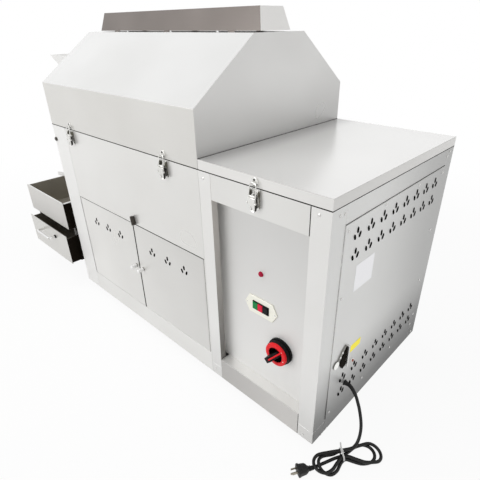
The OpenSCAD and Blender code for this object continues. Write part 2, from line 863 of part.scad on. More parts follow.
// Points of a smooth curve through the route, by Catmull and Rom's rule
function curve_point(p0, p1, p2, p3, t) = 0.5 * (
    2 * p1 + (p2 - p0) * t + (2 * p0 - 5 * p1 + 4 * p2 - p3) * t * t
    + (3 * p1 - p0 - 3 * p2 + p3) * t * t * t);
function smooth(r, n) = [
    for (i = [0 : len(r) - 2]) for (j = [0 : n - 1])
        curve_point(r[max(i - 1, 0)], r[i], r[i + 1], r[min(i + 2, len(r) - 1)], j / n),
    r[len(r) - 1]
];
function unit(v) = v / norm(v);
function heading(c, i) = unit(c[min(i + 1, len(c) - 1)] - c[max(i - 1, 0)]);
function ring(c, i, r, n) =
    let (t = heading(c, i), a = unit(cross(t, [0.1, 1, 0.2])), b = cross(t, a))
    [for (k = [0 : n - 1]) c[i] + r * (cos(360 * k / n) * a + sin(360 * k / n) * b)];

// A round tube swept along a list of points
module sweep(c, r, n) {
    rings = len(c);
    points = [for (i = [0 : rings - 1]) each ring(c, i, r, n)];
    sides = [for (i = [0 : rings - 2]) for (k = [0 : n - 1])
        [i * n + k, i * n + (k + 1) % n, (i + 1) * n + (k + 1) % n, (i + 1) * n + k]];
    first = [for (k = [n - 1 : -1 : 0]) k];
    last = [for (k = [0 : n - 1]) (rings - 1) * n + k];
    polyhedron(points, concat([first], [last], sides));
}

module power_cord() {
    color("black") at_origin() sweep(smooth(cord_route, cord_steps), cord_r, cord_sides);
}

module cord_hank() {
    run = (hank_l - hank_w) / 2;
    color("black") at_origin() translate(hank_at) rotate(hank_turn) linear_extrude(hank_h) {
        square([2 * run, hank_w], center = true);
        translate([run, 0]) circle(hank_w / 2);
        translate([-run, 0]) circle(hank_w / 2);
    }
}

module plug() {
    body_l = 34;
    body_w = 25;
    body_h = 22;
    blade_l = 16;
    color("black") at_origin() translate([plug_at[0], plug_at[1], 0]) rotate(plug_turn) {
        translate([0, 0, body_h / 2]) rotate([0, 90, 0]) cylinder(r1 = cord_r, r2 = 8, h = 14);
        translate([14, -body_w / 2, 0]) cube([body_l - 14, body_w, body_h]);
        for (y = [-6.35, 6.35])
            translate([body_l, y - 0.75, body_h / 2 + 1]) cube([blade_l, 1.5, 6.3]);
        translate([body_l, 0, body_h / 2 - 5]) rotate([0, 90, 0]) cylinder(r = 2.4, h = blade_l + 2);
    }
}

// Toggle latches: a plate with two ears on the cabinet, a lever between them and a wire bail
ear_x0 = lever_half + 2 * side_gap + eye_w + 1;
ear_x1 = ear_x0 + ear_t;

module latch_bases() {
    color("silver") at_origin() for (x = latch_x) {
        box(x - latch_plate_w / 2, x + latch_plate_w / 2, -1.5, 0, seam_z - 8 - latch_plate_h, seam_z - 8);
        for (s = [-1, 1]) difference() {
            box(x + s * (ear_x0 + ear_t / 2) - ear_t / 2, x + s * (ear_x0 + ear_t / 2) + ear_t / 2,
                latch_y - 3.5, -1.5, latch_z - 5, latch_z + 5);
            rod_x(x - ear_x1 - over, x + ear_x1 + over, latch_y, latch_z, latch_pin_r + run_fit);
        }
    }
}

module latch_lever(i) {
    x = latch_x[i];
    color("whitesmoke") at_origin() translate([x, latch_y, latch_z]) {
        along_x(-lever_half, lever_half) {
            polygon([
                [-6.5, 3], [-5, 3], [-5, 7 - lever_l], [-7.4, 0.6 - lever_l], [-8.8, 1 - lever_l],
                [-6.5, 7 - lever_l]
            ]);
            polygon([[-5.5, 3], [1.5, 3], [1.5, -3], [-3, -13], [-5.5, -13]]);
        }
        rod_x(-ear_x1, ear_x1, 0, 0, latch_pin_r);
        for (s = [-1, 1]) {
            a = s > 0 ? lever_half : -lever_half - side_gap - eye_w;
            rod_x(a, a + side_gap + eye_w, bail_dy, bail_dz, bail_pin_r);
        }
    }
}

module latch_bail(i) {
    x = latch_x[i];
    arm = lever_half + side_gap + eye_w / 2;
    b = [latch_y + bail_dy, latch_z + bail_dz];
    color("whitesmoke") at_origin() translate([x, 0, 0]) difference() {
        union() {
            for (s = [-1, 1]) {
                rod_x(s * arm - eye_w / 2, s * arm + eye_w / 2, b[0], b[1], 2.6);
                rod_between([s * arm, b[0], b[1]], [s * arm, bail_bar_y, bail_bar_z], bail_r);
                translate([s * arm, bail_bar_y, bail_bar_z]) sphere(bail_r + 0.35, $fn = 24);
            }
            rod_x(-arm, arm, bail_bar_y, bail_bar_z, bail_r);
        }
        rod_x(-arm - eye_w, arm + eye_w, b[0], b[1], bail_pin_r + run_fit);
    }
}

// The strike that a bail reaches over: a plate with a short lip
module strike(x, top) {
    box(x - 15, x + 15, -1.5, 0, seam_z + 3, top);
    box(x - 10, x + 10, strike_y, -1.5, seam_z + bail_up - 5, seam_z + bail_up - 2);
}

module hinge_fixed(x) {
    l = hinge_l / 2;
    third = hinge_l / 6;
    color("silver") {
        box(x - l, x + l, cab_d, cab_d + 2, seam_z - hinge_leaf_h, seam_z - knuckle_r - side_gap);
        for (s = [-1, 1]) {
            a = s > 0 ? x + third + side_gap : x - l;
            box(a, a + l - third - side_gap, cab_d, cab_d + 2, seam_z - 10, seam_z);
            rod_x(a, a + l - third - side_gap, hinge_y, seam_z, knuckle_r);
        }
        rod_x(x - l, x + l, hinge_y, seam_z, hinge_pin_r);
    }
}

module hinge_moving(x) {
    l = hinge_l / 2;
    third = hinge_l / 6;
    difference() {
        union() {
            box(x - l, x + l, cab_d, cab_d + 2, seam_z + knuckle_r + side_gap, lid_top - 1);
            box(x - third, x + third, cab_d, cab_d + 2, seam_z, lid_top - 1);
            rod_x(x - third, x + third, hinge_y, seam_z, knuckle_r);
        }
        rod_x(x - l, x + l, hinge_y, seam_z, hinge_pin_r + run_fit);
    }
}

module hinge_leaves() {
    at_origin() for (x = concat(hood_hinge_x, lid_hinge_x)) hinge_fixed(x);
}

module hood_fittings() {
    color("silver") at_origin() {
        for (i = [0, 1]) strike(latch_x[i], seam_z + 25);
        for (x = hood_hinge_x) hinge_moving(x);
    }
}

module lid_fittings() {
    color("silver") at_origin() {
        strike(latch_x[2], lid_top - 1);
        for (x = lid_hinge_x) hinge_moving(x);
    }
}

// Doors: a skin with folded edges, turning on a barrel at the stile
barrel_y = barrel_r + 0.2;
left_pin_x = stile_w + door_gap + barrel_r;
right_pin_x = door_x1 - door_gap - barrel_r;
seam_half = door_seam_gap / 2;
stud_r = 2;

module door_pins() {
    grip = door_gap + door_pin_l - 1;
    color("dimgray") at_origin() for (x = [left_pin_x, right_pin_x]) {
        box(x - 6, x + 6, sheet, sheet + 7, door_z1, door_z1 + 14);
        box(x - 6, x + 6, sheet, sheet + 7, skirt_top - 14, skirt_top);
        rod_z(door_z1 - grip, door_z1 + 10, x, barrel_y, door_pin_r);
        rod_z(skirt_top - 10, skirt_top + grip, x, barrel_y, door_pin_r);
    }
}

module door(pin_x, free_x) {
    z0 = skirt_top + door_gap;
    z1 = door_z1 - door_gap;
    a = min(pin_x, free_x);
    b = max(pin_x, free_x);
    edge = free_x > pin_x ? free_x - sheet : free_x;
    inner0 = free_x > pin_x ? a + 1 : a;
    inner1 = free_x > pin_x ? b : b - 1;
    difference() {
        union() {
            rod_z(z0, z1, pin_x, barrel_y, barrel_r);
            box(a, b, 0, sheet, z0, z1);
            box(edge, edge + sheet, 0, door_d, z0, z1);
            box(inner0, inner1, 0, door_d, z0, z0 + sheet);
            box(inner0, inner1, 0, door_d, z1 - sheet, z1);
        }
        rod_z(z0 - over, z0 + door_pin_l, pin_x, barrel_y, door_pin_r + run_fit);
        rod_z(z1 - door_pin_l, z1 + over, pin_x, barrel_y, door_pin_r + run_fit);
        for (i = [-1, 0, 1])
            translate([(a + b) / 2 + i * door_vent_step, sheet + over, skirt_top + door_vent_z])
                rotate([90, 0, 0]) linear_extrude(sheet + 2 * over) leaf();
        rod_y(-over, sheet + over, door_knob_x(pin_x, free_x), skirt_top + door_knob_z, stud_r + run_fit);
    }
}

// A plain round knob with a stud through the skin and a screw head behind it
function door_knob_x(pin_x, free_x) = free_x + door_knob_in * sign(pin_x - free_x);
module door_knob(x) {
    z = skirt_top + door_knob_z;
    rod_y(-door_knob_out, -side_gap, x, z, door_knob_r);
    rod_y(-door_knob_out + 2, sheet + side_gap + 2, x, z, stud_r);
    rod_y(sheet + side_gap, sheet + side_gap + 3, x, z, stud_r + 2);
}

module door_left() {
    free_x = door_seam - seam_half;
    color("whitesmoke") at_origin() {
        door(left_pin_x, free_x);
        door_knob(door_knob_x(left_pin_x, free_x));
    }
}

module door_right() {
    free_x = door_seam + seam_half;
    color("whitesmoke") at_origin() {
        door(right_pin_x, free_x);
        door_knob(door_knob_x(right_pin_x, free_x));
    }
}

module door_catch() {
    color("dimgray") at_origin()
        translate([door_seam + catch_shift, 0, door_z1 + 1.5]) rotate([0, -catch_lean, 0]) {
            rod_z(0, 28, 0, -7, 6);
            box(-5, 5, -7, 0, 2, 26);
        }
}

module discharge_chute() {
    y1 = chute_y0 + chute_w;
    color("silver") at_origin() {
        along_y(chute_y0, y1) polygon([
            [-chute_out, chute_tip], [0, chute_z1], [0, chute_z1 + sheet], [-chute_out, chute_tip + sheet]
        ]);
        for (y = [chute_y0, y1 - sheet]) along_y(y, y + sheet) polygon([
            [-chute_out, chute_tip], [0, chute_z1], [0, chute_z1 + chute_wall + 40],
            [-60, chute_z1 + chute_wall], [-chute_out, chute_tip + chute_wall]
        ]);
    }
}

module collector_rack() {
    color("dimgray") at_origin() {
        box(rack_x0, rack_x0 + sheet, 0, rack_d, rack_z0, rack_z1);
        box(rack_x1 - sheet, rack_x1, 0, rack_d, rack_z0, rack_z1);
        box(rack_x0, rack_x1, rack_d - sheet, rack_d, rack_z0, rack_z1);
        box(rack_x0, rack_x1, 0, rack_d, rack_z0, rack_z0 + sheet);
        box(rack_x0, rack_x1, 0, rack_d, bin_z0 - side_gap - sheet, bin_z0 - side_gap);
        for (y = [6, rack_d - 40]) box(rack_x1, 0, y, y + 28, bin_z0 - 14, bin_z0 + 14);
    }
}

module open_box(y0, y1, z0, z1) {
    difference() {
        box(box_x0, box_x1, y0, y1, z0, z1);
        box(box_x0 + sheet, box_x1 - sheet, y0 + sheet, y1 - sheet, z0 + sheet, z1 + over);
    }
}

module bin() {
    color("silver") at_origin() {
        open_box(sheet - bin_out, bin_y1, bin_z0, bin_z0 + bin_h - 2);
        box(rack_x0, rack_x1, -bin_out, sheet - bin_out, bin_z0, bin_z0 + bin_h);
    }
}

module drawer() {
    pull_z = drawer_z0 + drawer_h * 0.72;
    pull_y = -drawer_out - pull_out;
    pull_x = (rack_x0 + rack_x1) / 2;
    color("silver") at_origin() {
        open_box(sheet - drawer_out, drawer_y1, drawer_floor, drawer_top);
        box(rack_x0, rack_x1, -drawer_out, sheet - drawer_out, drawer_z0, drawer_z0 + drawer_h);
        rod_x(pull_x - pull_l / 2, pull_x + pull_l / 2, pull_y, pull_z, pull_r);
        for (s = [-1, 1])
            rod_y(pull_y, -drawer_out, pull_x + s * (pull_l / 2 - pull_r), pull_z, pull_r);
    }
}

// Casters: pivots at the corners, the front pair free to swivel
front_pivots = [[caster_left, caster_in], [cab_l - caster_in, caster_in]];
front_turn = [134, 43];
rear_pivots = [[caster_left, caster_rear], [cab_l - caster_in, caster_rear]];

module fork(crown_top) {
    cheek = wheel_w / 2 + 1;
    translate([0, 0, crown_z0]) cylinder(r = 19, h = crown_top - crown_z0);
    box(-trail - 12, 14, -cheek - 3, cheek + 3, crown_z0, crown_z1);
    for (s = [-1, 1]) translate([0, s * (cheek + 1.5) - 1.5, 0]) along_y(0, 3) polygon([
        [-trail - 7, wheel_d / 2 - 7], [-trail + 7, wheel_d / 2 - 7], [14, crown_z0], [-trail - 12, crown_z0]
    ]);
    rod_y(-cheek, cheek, -trail, wheel_d / 2, axle_r);
}

module wheel() {
    difference() {
        rod_y(-wheel_w / 2, wheel_w / 2, -trail, wheel_d / 2, wheel_d / 2);
        rod_y(-wheel_w, wheel_w, -trail, wheel_d / 2, axle_r + run_fit);
    }
}

module caster_mounts() {
    color("silver") at_origin() {
        for (p = front_pivots) difference() {
            box(p[0] - 30, p[0] + 30, p[1] - 30, p[1] + 30, mount_z0, pan_z0);
            rod_z(mount_z0 - over, pan_z0 + over, p[0], p[1], kingpin_r + run_fit);
        }
        for (p = rear_pivots) translate([p[0], p[1], 0]) {
            box(-30, 30, -30, 30, mount_z0, pan_z0);
            fork(mount_z0);
        }
    }
}

module caster_fork(i) {
    color("silver") at_origin() translate(front_pivots[i]) rotate(front_turn[i]) {
        fork(crown_z1);
        rod_z(crown_z0, pan_z0 - side_gap, 0, 0, kingpin_r);
    }
}

module front_wheel(i) {
    color("black") at_origin() translate(front_pivots[i]) rotate(front_turn[i]) wheel();
}

module rear_wheel(i) {
    color("black") at_origin() translate(rear_pivots[i]) wheel();
}

// The drum: a rolled shell with a closed right end, an open ring at the left and lifting blades
module drum() {
    hub_r = shaft_r + 12;
    spoke_t = 8;
    color("slategray") at_origin() {
        difference() {
            rod_x(drum_x0, drum_x1, axis_y, axis_z, drum_r);
            rod_x(drum_x0 + sheet, drum_x1 - sheet, axis_y, axis_z, drum_r - sheet);
            rod_x(drum_x0 - over, drum_x0 + sheet + over, axis_y, axis_z, drum_mouth_r);
        }
        rod_x(sheet + 2, shaft_x1, axis_y, axis_z, shaft_r);
        rod_x(drum_x0 - 4, drum_x0 + spoke_t + 4, axis_y, axis_z, hub_r);
        translate([drum_x0 + sheet / 2, axis_y, axis_z]) for (a = [0, 120, 240]) rotate([a, 0, 0])
            translate([0, -6, hub_r - 3]) cube([spoke_t, 12, drum_r - sheet - hub_r + 4]);
        translate([drum_x0 + 30, axis_y, axis_z]) for (a = [45 : 90 : 315]) rotate([a, 0, 0])
            translate([0, -1.5, drum_r - sheet - lifter_h]) cube([drum_x1 - drum_x0 - 60, 3, lifter_h + 1]);
        pulley(axis_y, axis_z, drum_pulley_r);
    }
}

module motor_pulley() {
    color("slategray") at_origin() {
        pulley(axis_y, motor_z, motor_pulley_r);
        rod_x(pulley_x0 - 4, gearbox_x0 + 30, axis_y, motor_z, motor_shaft_r);
    }
}

// The hood's section across the cabinet, drawn inside the outer face by a sheet's thickness
function hood_section(s, drop) =
    let (k = (hood_h - hood_wall_h) / slope_run, v = s * sqrt(1 + k * k),
         top_y = s > 0 ? (hood_h - s + v - hood_wall_h) / k : slope_run,
         side_h = hood_wall_h + k * s - v)
    [[s, seam_z + seam_gap - drop], [s, seam_z + side_h], [top_y, hood_top - s], [cab_d - top_y, hood_top - s],
     [cab_d - s, seam_z + side_h], [cab_d - s, seam_z + seam_gap - drop]];

module hood_shell() {
    color("gainsboro") at_origin() difference() {
        along_x(0, mid_x0) polygon(hood_section(0, 0));
        along_x(sheet, mid_x0 - sheet) polygon(hood_section(sheet, over));
        box(cap_end + 60, mid_x0 - cap_end - 60, axis_y - cap_d / 2 + 16, axis_y + cap_d / 2 - 16,
            hood_top - 2 * sheet, hood_top + over);
        box(-over, sheet + over, hopper_y0 + 2 * sheet, hopper_y0 + hopper_w - 2 * sheet,
            seam_z + hopper_foot + 3, seam_z + hopper_lip - 16);
    }
}

module frustum(x0, x1, y0, y1, z0, h, t) {
    intersection() {
        along_x(x0, x1) polygon([[y0, z0], [y1, z0], [y1 - t, z0 + h], [y0 + t, z0 + h]]);
        along_y(y0, y1) polygon([[x0, z0], [x1, z0], [x1 - t, z0 + h], [x0 + t, z0 + h]]);
    }
}

module vent_cap() {
    x0 = cap_end;
    x1 = mid_x0 - cap_end;
    y0 = axis_y - cap_d / 2;
    y1 = axis_y + cap_d / 2;
    z0 = hood_top + cap_gap;
    s = sheet;
    color("gray") at_origin() {
        difference() {
            frustum(x0, x1, y0, y1, z0, cap_h, cap_taper);
            frustum(x0 + s, x1 - s, y0 + s, y1 - s, z0 - 0.01, cap_h - s, cap_taper * (cap_h - s) / cap_h);
        }
        for (x = [x0 + 100, (x0 + x1) / 2, x1 - 100]) for (y = [y0 - 0.01, y1 - s - 4])
            box(x - 12, x + 12, y + 0.01, y + s + 4, hood_top, z0 + 2);
    }
}

module feed_hopper() {
    lip = seam_z + hopper_lip;
    foot = seam_z + hopper_foot;
    y1 = hopper_y0 + hopper_w;
    color("silver") at_origin() {
        along_y(hopper_y0, y1) polygon([
            [-hopper_out, lip], [0, foot], [0, foot + 2.5], [-hopper_out, lip + 2.5]
        ]);
        for (y = [hopper_y0, y1 - sheet]) along_y(y, y + sheet)
            polygon([[-hopper_out, lip], [0, foot], [0, lip + 2.5], [-hopper_out, lip + 2.5]]);
    }
}

module top_lid() {
    x0 = mid_x0 + hood_gap;
    color("whitesmoke") at_origin() difference() {
        box(x0, cab_l, 0, cab_d, seam_z + seam_gap, lid_top);
        box(x0 + sheet, cab_l - sheet, sheet, cab_d - sheet, seam_z - over, lid_top - sheet);
    }
}

module gas_knob() {
    color("silver") at_origin() {
        rod_x(knob_x0, knob_x1, gas_knob_y, gas_z, gas_knob_d / 2);
        rod_x(right_slim + 8, knob_x0, gas_knob_y, gas_z, gas_shaft_r);
        rod_x(side_face + 1, knob_x0, gas_knob_y, gas_z, 7);
    }
}

frame();
base_pan();
front_panel();
back_panel();
left_end_panel();
bulkhead();
control_panel();
apron();
side_panel();
heat_shroud();
gas_line();
gas_inlet();
shaft_bearings();
gear_motor();
drive_belt();
pilot_lamp();
switch_plate();
switch_body();
isolator_base();
cord_gland();
power_cord();
cord_hank();
plug();
latch_bases();
hinge_leaves();
door_pins();
door_catch();
discharge_chute();
collector_rack();
caster_mounts();
hood_shell();
vent_cap();
feed_hopper();
hood_fittings();
top_lid();
lid_fittings();
door_left();
door_right();
latch_lever(0);  // latch_lever_1
latch_lever(1);  // latch_lever_2
latch_lever(2);  // latch_lever_3
latch_bail(0);  // latch_bail_1
latch_bail(1);  // latch_bail_2
latch_bail(2);  // latch_bail_3
isolator_dial();
color("green") button(0);  // button_green
color("red") button(1);  // button_red
color("black") button(2);  // button_black
gas_knob();
caster_fork(0);  // caster_fork_1
caster_fork(1);  // caster_fork_2
front_wheel(0);  // caster_wheel_1
front_wheel(1);  // caster_wheel_2
rear_wheel(0);  // caster_wheel_3
rear_wheel(1);  // caster_wheel_4
drum();
motor_pulley();
bin();
drawer();
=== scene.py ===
import json
import math

import bmesh
import bpy
import numpy as np
from mathutils import Matrix, Vector


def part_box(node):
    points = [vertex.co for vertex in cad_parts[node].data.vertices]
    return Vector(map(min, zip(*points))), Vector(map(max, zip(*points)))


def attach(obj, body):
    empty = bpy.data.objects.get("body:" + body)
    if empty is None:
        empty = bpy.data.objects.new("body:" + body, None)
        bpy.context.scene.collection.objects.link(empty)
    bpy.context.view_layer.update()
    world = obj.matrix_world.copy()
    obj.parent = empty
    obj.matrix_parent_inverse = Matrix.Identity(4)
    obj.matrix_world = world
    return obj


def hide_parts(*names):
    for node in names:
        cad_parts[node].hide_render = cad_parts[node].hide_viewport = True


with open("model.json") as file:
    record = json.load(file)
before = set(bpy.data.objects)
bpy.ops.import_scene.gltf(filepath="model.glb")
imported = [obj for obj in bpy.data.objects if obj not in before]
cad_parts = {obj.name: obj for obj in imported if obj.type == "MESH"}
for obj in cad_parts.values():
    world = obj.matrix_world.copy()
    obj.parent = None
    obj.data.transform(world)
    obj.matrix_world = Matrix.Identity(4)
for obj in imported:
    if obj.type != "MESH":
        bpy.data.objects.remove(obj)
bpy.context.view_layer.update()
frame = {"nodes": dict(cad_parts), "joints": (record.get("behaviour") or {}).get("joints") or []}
nodes = frame["nodes"]

# Camera: stands off the right front corner at the height of the hood's top, and looks down at the
# cabinet through a fairly wide lens, shifted so that the machine fills the view.
def placed(name, data):
    """Puts data into the scene as an object."""
    thing = bpy.data.objects.new(name, data)
    scene.collection.objects.link(thing)
    return thing


scene = bpy.context.scene
scene.view_settings.view_transform = "Standard"
view = bpy.data.cameras.new("view")
view.lens = 30.78
view.sensor_width = 36
view.shift_x = -0.0193
view.shift_y = 0.0124
view.clip_end = 60
camera = placed("view", view)
camera.matrix_world = (
    Matrix.Translation((1.0909, -0.8495, 0.9575))
    @ Matrix.Rotation(math.radians(43.68), 4, "Z")
    @ Matrix.Rotation(math.radians(90 - 28.551), 4, "X")
    @ Matrix.Rotation(math.radians(-0.924), 4, "Z")
)
scene.camera = camera


# Mains cord: round black PVC flex that leaves the gland low on the right side, hangs in an arc, and
# is folded into a small hank on the floor with a white cable tie round its waist.
middle_x, middle_y = 401, 264.5


def at(x, y, z):
    """A point in the frame, from mm along the cabinet's left end, front face and floor."""
    return Vector(((x - middle_x) / 1000, (y - middle_y) / 1000, z / 1000))


def joined(node, **inputs):
    """Sets a node's inputs, or links them where the value is a socket; In_0 names one by its place."""
    for key, value in inputs.items():
        socket = node.inputs[int(key[3:]) if key.startswith("In_") else key.replace("_", " ")]
        if isinstance(value, bpy.types.NodeSocket):
            node.id_data.links.new(value, socket)
        else:
            socket.default_value = value
    return node


def added(tree, kind, out=0, **settings):
    """Adds a node and returns one of its outputs; settings in lower case are its own, the rest inputs."""
    node = tree.nodes.new(kind)
    for key in [key for key in settings if key[0].islower()]:
        setattr(node, key, settings.pop(key))
    return joined(node, **settings).outputs[out]


def mixed(tree, share, first, second):
    """Two colours mixed by a share."""
    return added(tree, "ShaderNodeMix", "Result", data_type="RGBA", In_0=share, A=(*first, 1), B=(*second, 1))


def new_material(name, colour, rough, metal=0.0, **inputs):
    """A plain finish; returns it with its shader."""
    material = bpy.data.materials.new(name)
    material.use_nodes = True
    shader = material.node_tree.nodes["Principled BSDF"]
    joined(shader, Base_Color=(*colour, 1), Roughness=rough, Metallic=metal, **inputs)
    material.diffuse_color = (*colour, 1)
    return material, shader


def mottled(name, colour, other, scale, rough, bump=0.0, metal=0.0, **inputs):
    """A finish broken up by one noise, which shapes its colour, its gloss and its surface."""
    material, shader = new_material(name, colour, rough[0], metal, **inputs)
    tree = material.node_tree
    place = added(tree, "ShaderNodeTexCoord", "Object")
    noise = added(tree, "ShaderNodeTexNoise", Vector=place, Scale=scale, Detail=4.0, Roughness=0.55)
    joined(shader, Base_Color=mixed(tree, noise, colour, other),
           Roughness=added(tree, "ShaderNodeMapRange", Value=noise, To_Min=rough[0], To_Max=rough[1]))
    if bump:
        joined(shader, Normal=added(tree, "ShaderNodeBump", Height=noise, Strength=bump, Distance=0.001))
    return material


def finish(piece, body, slot, *stands_for, material):
    """Gives a piece its material and its body, and names the solids that it stands for; its slot is not used."""
    piece.data.materials.clear()
    piece.data.materials.append(material)
    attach(piece, body)
    if stands_for:
        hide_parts(*stands_for)
    return piece


def piece_from(bm, name, smooth=None):
    """Makes a piece of a closed mesh, with its faces turned outwards."""
    bmesh.ops.recalc_face_normals(bm, faces=bm.faces)
    mesh = bpy.data.meshes.new(name)
    bm.to_mesh(mesh)
    bm.free()
    if smooth is not None:
        mesh.shade_smooth()
        mesh.set_sharp_from_angle(angle=math.radians(smooth))
    return placed(name, mesh)


cord_r = 0.0041
tie_x, tie_y, hank_lean = 1205, 37, math.radians(52)


def on_hank(along, across, z=4.1):
    """A point in the frame, from mm along and across the hank."""
    c, s = math.cos(hank_lean), math.sin(hank_lean)
    return at(tie_x + along * c + across * s, tie_y + along * s - across * c, z)


def fold(centre, across, radius, sign, first=-90, last=90, steps=6):
    """Points round one folded end of the hank."""
    angles = [math.radians(first + (last - first) * i / steps) for i in range(steps + 1)]
    return [(centre + sign * radius * math.cos(a), across + radius * math.sin(a)) for a in angles]


def smooth_line(points, step=0.0035):
    """Points every few mm on a smooth curve through the given ones."""
    line = []
    n = len(points)
    for i in range(n - 1):
        a, b, c, d = points[max(i - 1, 0)], points[i], points[i + 1], points[min(i + 2, n - 1)]
        parts = max(2, round((c - b).length / step))
        for k in range(parts):
            t = k / parts
            line.append(0.5 * (2 * b + (c - a) * t + (2 * a - 5 * b + 4 * c - d) * t * t
                               + (3 * b - a - 3 * c + d) * t * t * t))
    line.append(points[-1])
    return line


falling = [at(*p) for p in (
    (1156, 128, 142), (1164, 126, 140), (1173, 123, 135), (1182, 120, 127), (1190, 116, 117), (1198, 112, 105),
    (1206, 107, 90), (1213, 102, 74), (1218, 96, 58), (1221, 88, 43), (1222, 79, 31), (1221, 70, 22.5), (1218, 61, 17))]
bend = 24.7
turns = (
    [(14, -4.5), (0, -5), (-13, -6.5), (-30, -8)] + fold(-52, 16.7, bend, -1)
    + [(-36, 35), (-20, 21), (-4, 9.5), (12, 9), (30, 20), (50, 31)] + fold(73, 8, bend, 1, 90, -90)
    + [(50, -14), (30, -10.5), (10, -8.5), (-6, -9.5), (-20, -7)] + fold(-40, 18, bend, -1)
    + [(-24, 35), (-8, 18), (6, 11), (22, 19), (40, 28)] + fold(58, 4.5, bend, 1, 90, -90)
    + [(38, -16), (20, -7), (0, 0.5), (-20, 4), (-44, 10), (-64, 15), (-82, 19.5)])
cord_line = smooth_line(falling + [on_hank(*p) for p in turns])
landed = len(smooth_line(falling))
# Where strands cross, the one nearer the gland lies on the other, in long low humps.
thick, crossing_gap, ease_in = 2 * cord_r + 0.0003, 0.03, 0.055
line = np.array([list(p) for p in cord_line])
travel = np.concatenate([[0], np.cumsum(np.linalg.norm(np.diff(line[:, :2], axis=0), axis=1))])
settled = np.clip((travel - travel[landed] + ease_in) / ease_in, 0, 1)
settled = settled * settled * (3 - 2 * settled)
own_z = line[:, 2].copy()
own_z[landed:] = cord_r
height = own_z.copy()
weights = np.exp(-((travel[:, None] - travel[None, :]) / 0.009) ** 2)
weights /= weights.sum(1, keepdims=True)
for turn in range(8):
    need = np.full(len(line), cord_r)
    for i in range(len(line) - 2, -1, -1):
        apart = np.linalg.norm(line[i + 1:, :2] - line[i, :2], axis=1)
        near = (apart < thick) & (travel[i + 1:] - travel[i] > crossing_gap)
        if near.any():
            need[i] = max(need[i], (height[i + 1:][near] + np.sqrt(thick ** 2 - apart[near] ** 2)).max())
    crest = np.array([need[np.abs(travel - t) < 0.010].max() for t in travel])
    eased = weights @ crest
    height = own_z * (1 - settled) + eased * settled
    height = height * settled + own_z * (1 - settled)
for turn in range(3):
    height = height * (1 - settled) + (weights @ height) * settled
line[:, 2] = np.maximum(height, cord_r)
cord_curve = bpy.data.curves.new("mains_cord", "CURVE")
cord_curve.dimensions = "3D"
cord_curve.bevel_depth = cord_r
cord_curve.bevel_resolution = 4
cord_curve.use_fill_caps = True
run = cord_curve.splines.new("POLY")
run.points.add(len(line) - 1)
for point, place in zip(run.points, line):
    point.co = (*place, 1)
run.use_smooth = True
mains_cord = placed("mains_cord", cord_curve)
cord_black = mottled("cord_black_pvc", (0.006, 0.006, 0.006), (0.012, 0.012, 0.012), 600, (0.3, 0.42), bump=0.05,
                     Specular_IOR_Level=0.3)
finish(mains_cord, "cabinet", "cord_pvc", "power_cord", "cord_hank", material=cord_black)


# Plug, strain relief and cable tie: a moulded plug with finger ridges, two flat blades and a round
# earth pin; a tapered boot at the gland; and a nylon tie drawn tight round the hank.
def skin(bm, rings, ends=True):
    """A skin through rings of points with the same count, closed at its ends or else round to the first."""
    made = [[bm.verts.new(p) for p in ring] for ring in rings]
    n = len(made[0])
    for a, b in zip(made, made[1:] + ([] if ends else made[:1])):
        for i in range(n):
            bm.faces.new((a[i], a[(i + 1) % n], b[(i + 1) % n], b[i]))
    if ends:
        bm.faces.new(made[0])
        bm.faces.new(made[-1][::-1])


def loft(rings, name, smooth=40):
    """A piece that is one closed skin through rings of points."""
    bm = bmesh.new()
    skin(bm, rings)
    return piece_from(bm, name, smooth)


def tube_rings(line, radii, count=20):
    """Rings of points round a line, whose radius changes along it."""
    rings, side = [], None
    for i, point in enumerate(line):
        way = (line[min(i + 1, len(line) - 1)] - line[max(i - 1, 0)]).normalized()
        side = (side or way.orthogonal())
        side = (side - way * side.dot(way)).normalized()
        other = way.cross(side)
        rings.append([point + radii[i] * (math.cos(a) * side + math.sin(a) * other)
                      for a in (2 * math.pi * k / count for k in range(count))])
    return rings


relief = [at(1149, 128, 142)] + [Vector(p) for p in line[:9]]
boot_line = smooth_line(relief, 0.0016)
flare = len(boot_line) - 1
radii = [0.0051 - 0.0008 * i / flare + (0.0003 if i % 4 < 2 else 0) for i in range(flare + 1)]
cord_boot = loft(tube_rings(boot_line, radii), "cord_boot")
rubber_black = mottled("moulded_black", (0.006, 0.006, 0.006), (0.013, 0.013, 0.013), 350, (0.4, 0.55), bump=0.08,
                       Specular_IOR_Level=0.3)
finish(cord_boot, "cabinet", "black_plastic", material=rubber_black)

plug_neck = Vector(line[-1])
plug_neck.z = 0
plug_turn = math.radians(240)
plug_way = Vector((math.cos(plug_turn), math.sin(plug_turn), 0))
plug_side = Vector((-plug_way.y, plug_way.x, 0))


def plug_ring(along, half_wide, half_high, mid, power, count=32):
    """One rounded section of the moulding, in mm along and across the plug."""
    ring = []
    for k in range(count):
        a = 2 * math.pi * k / count
        c, s = math.cos(a), math.sin(a)
        u = abs(c) ** (2 / power) * half_wide * (1 if c >= 0 else -1)
        v = abs(s) ** (2 / power) * half_high * (1 if s >= 0 else -1)
        ring.append(plug_neck + (plug_way * along + plug_side * u + Vector((0, 0, mid + v))) / 1000)
    return ring


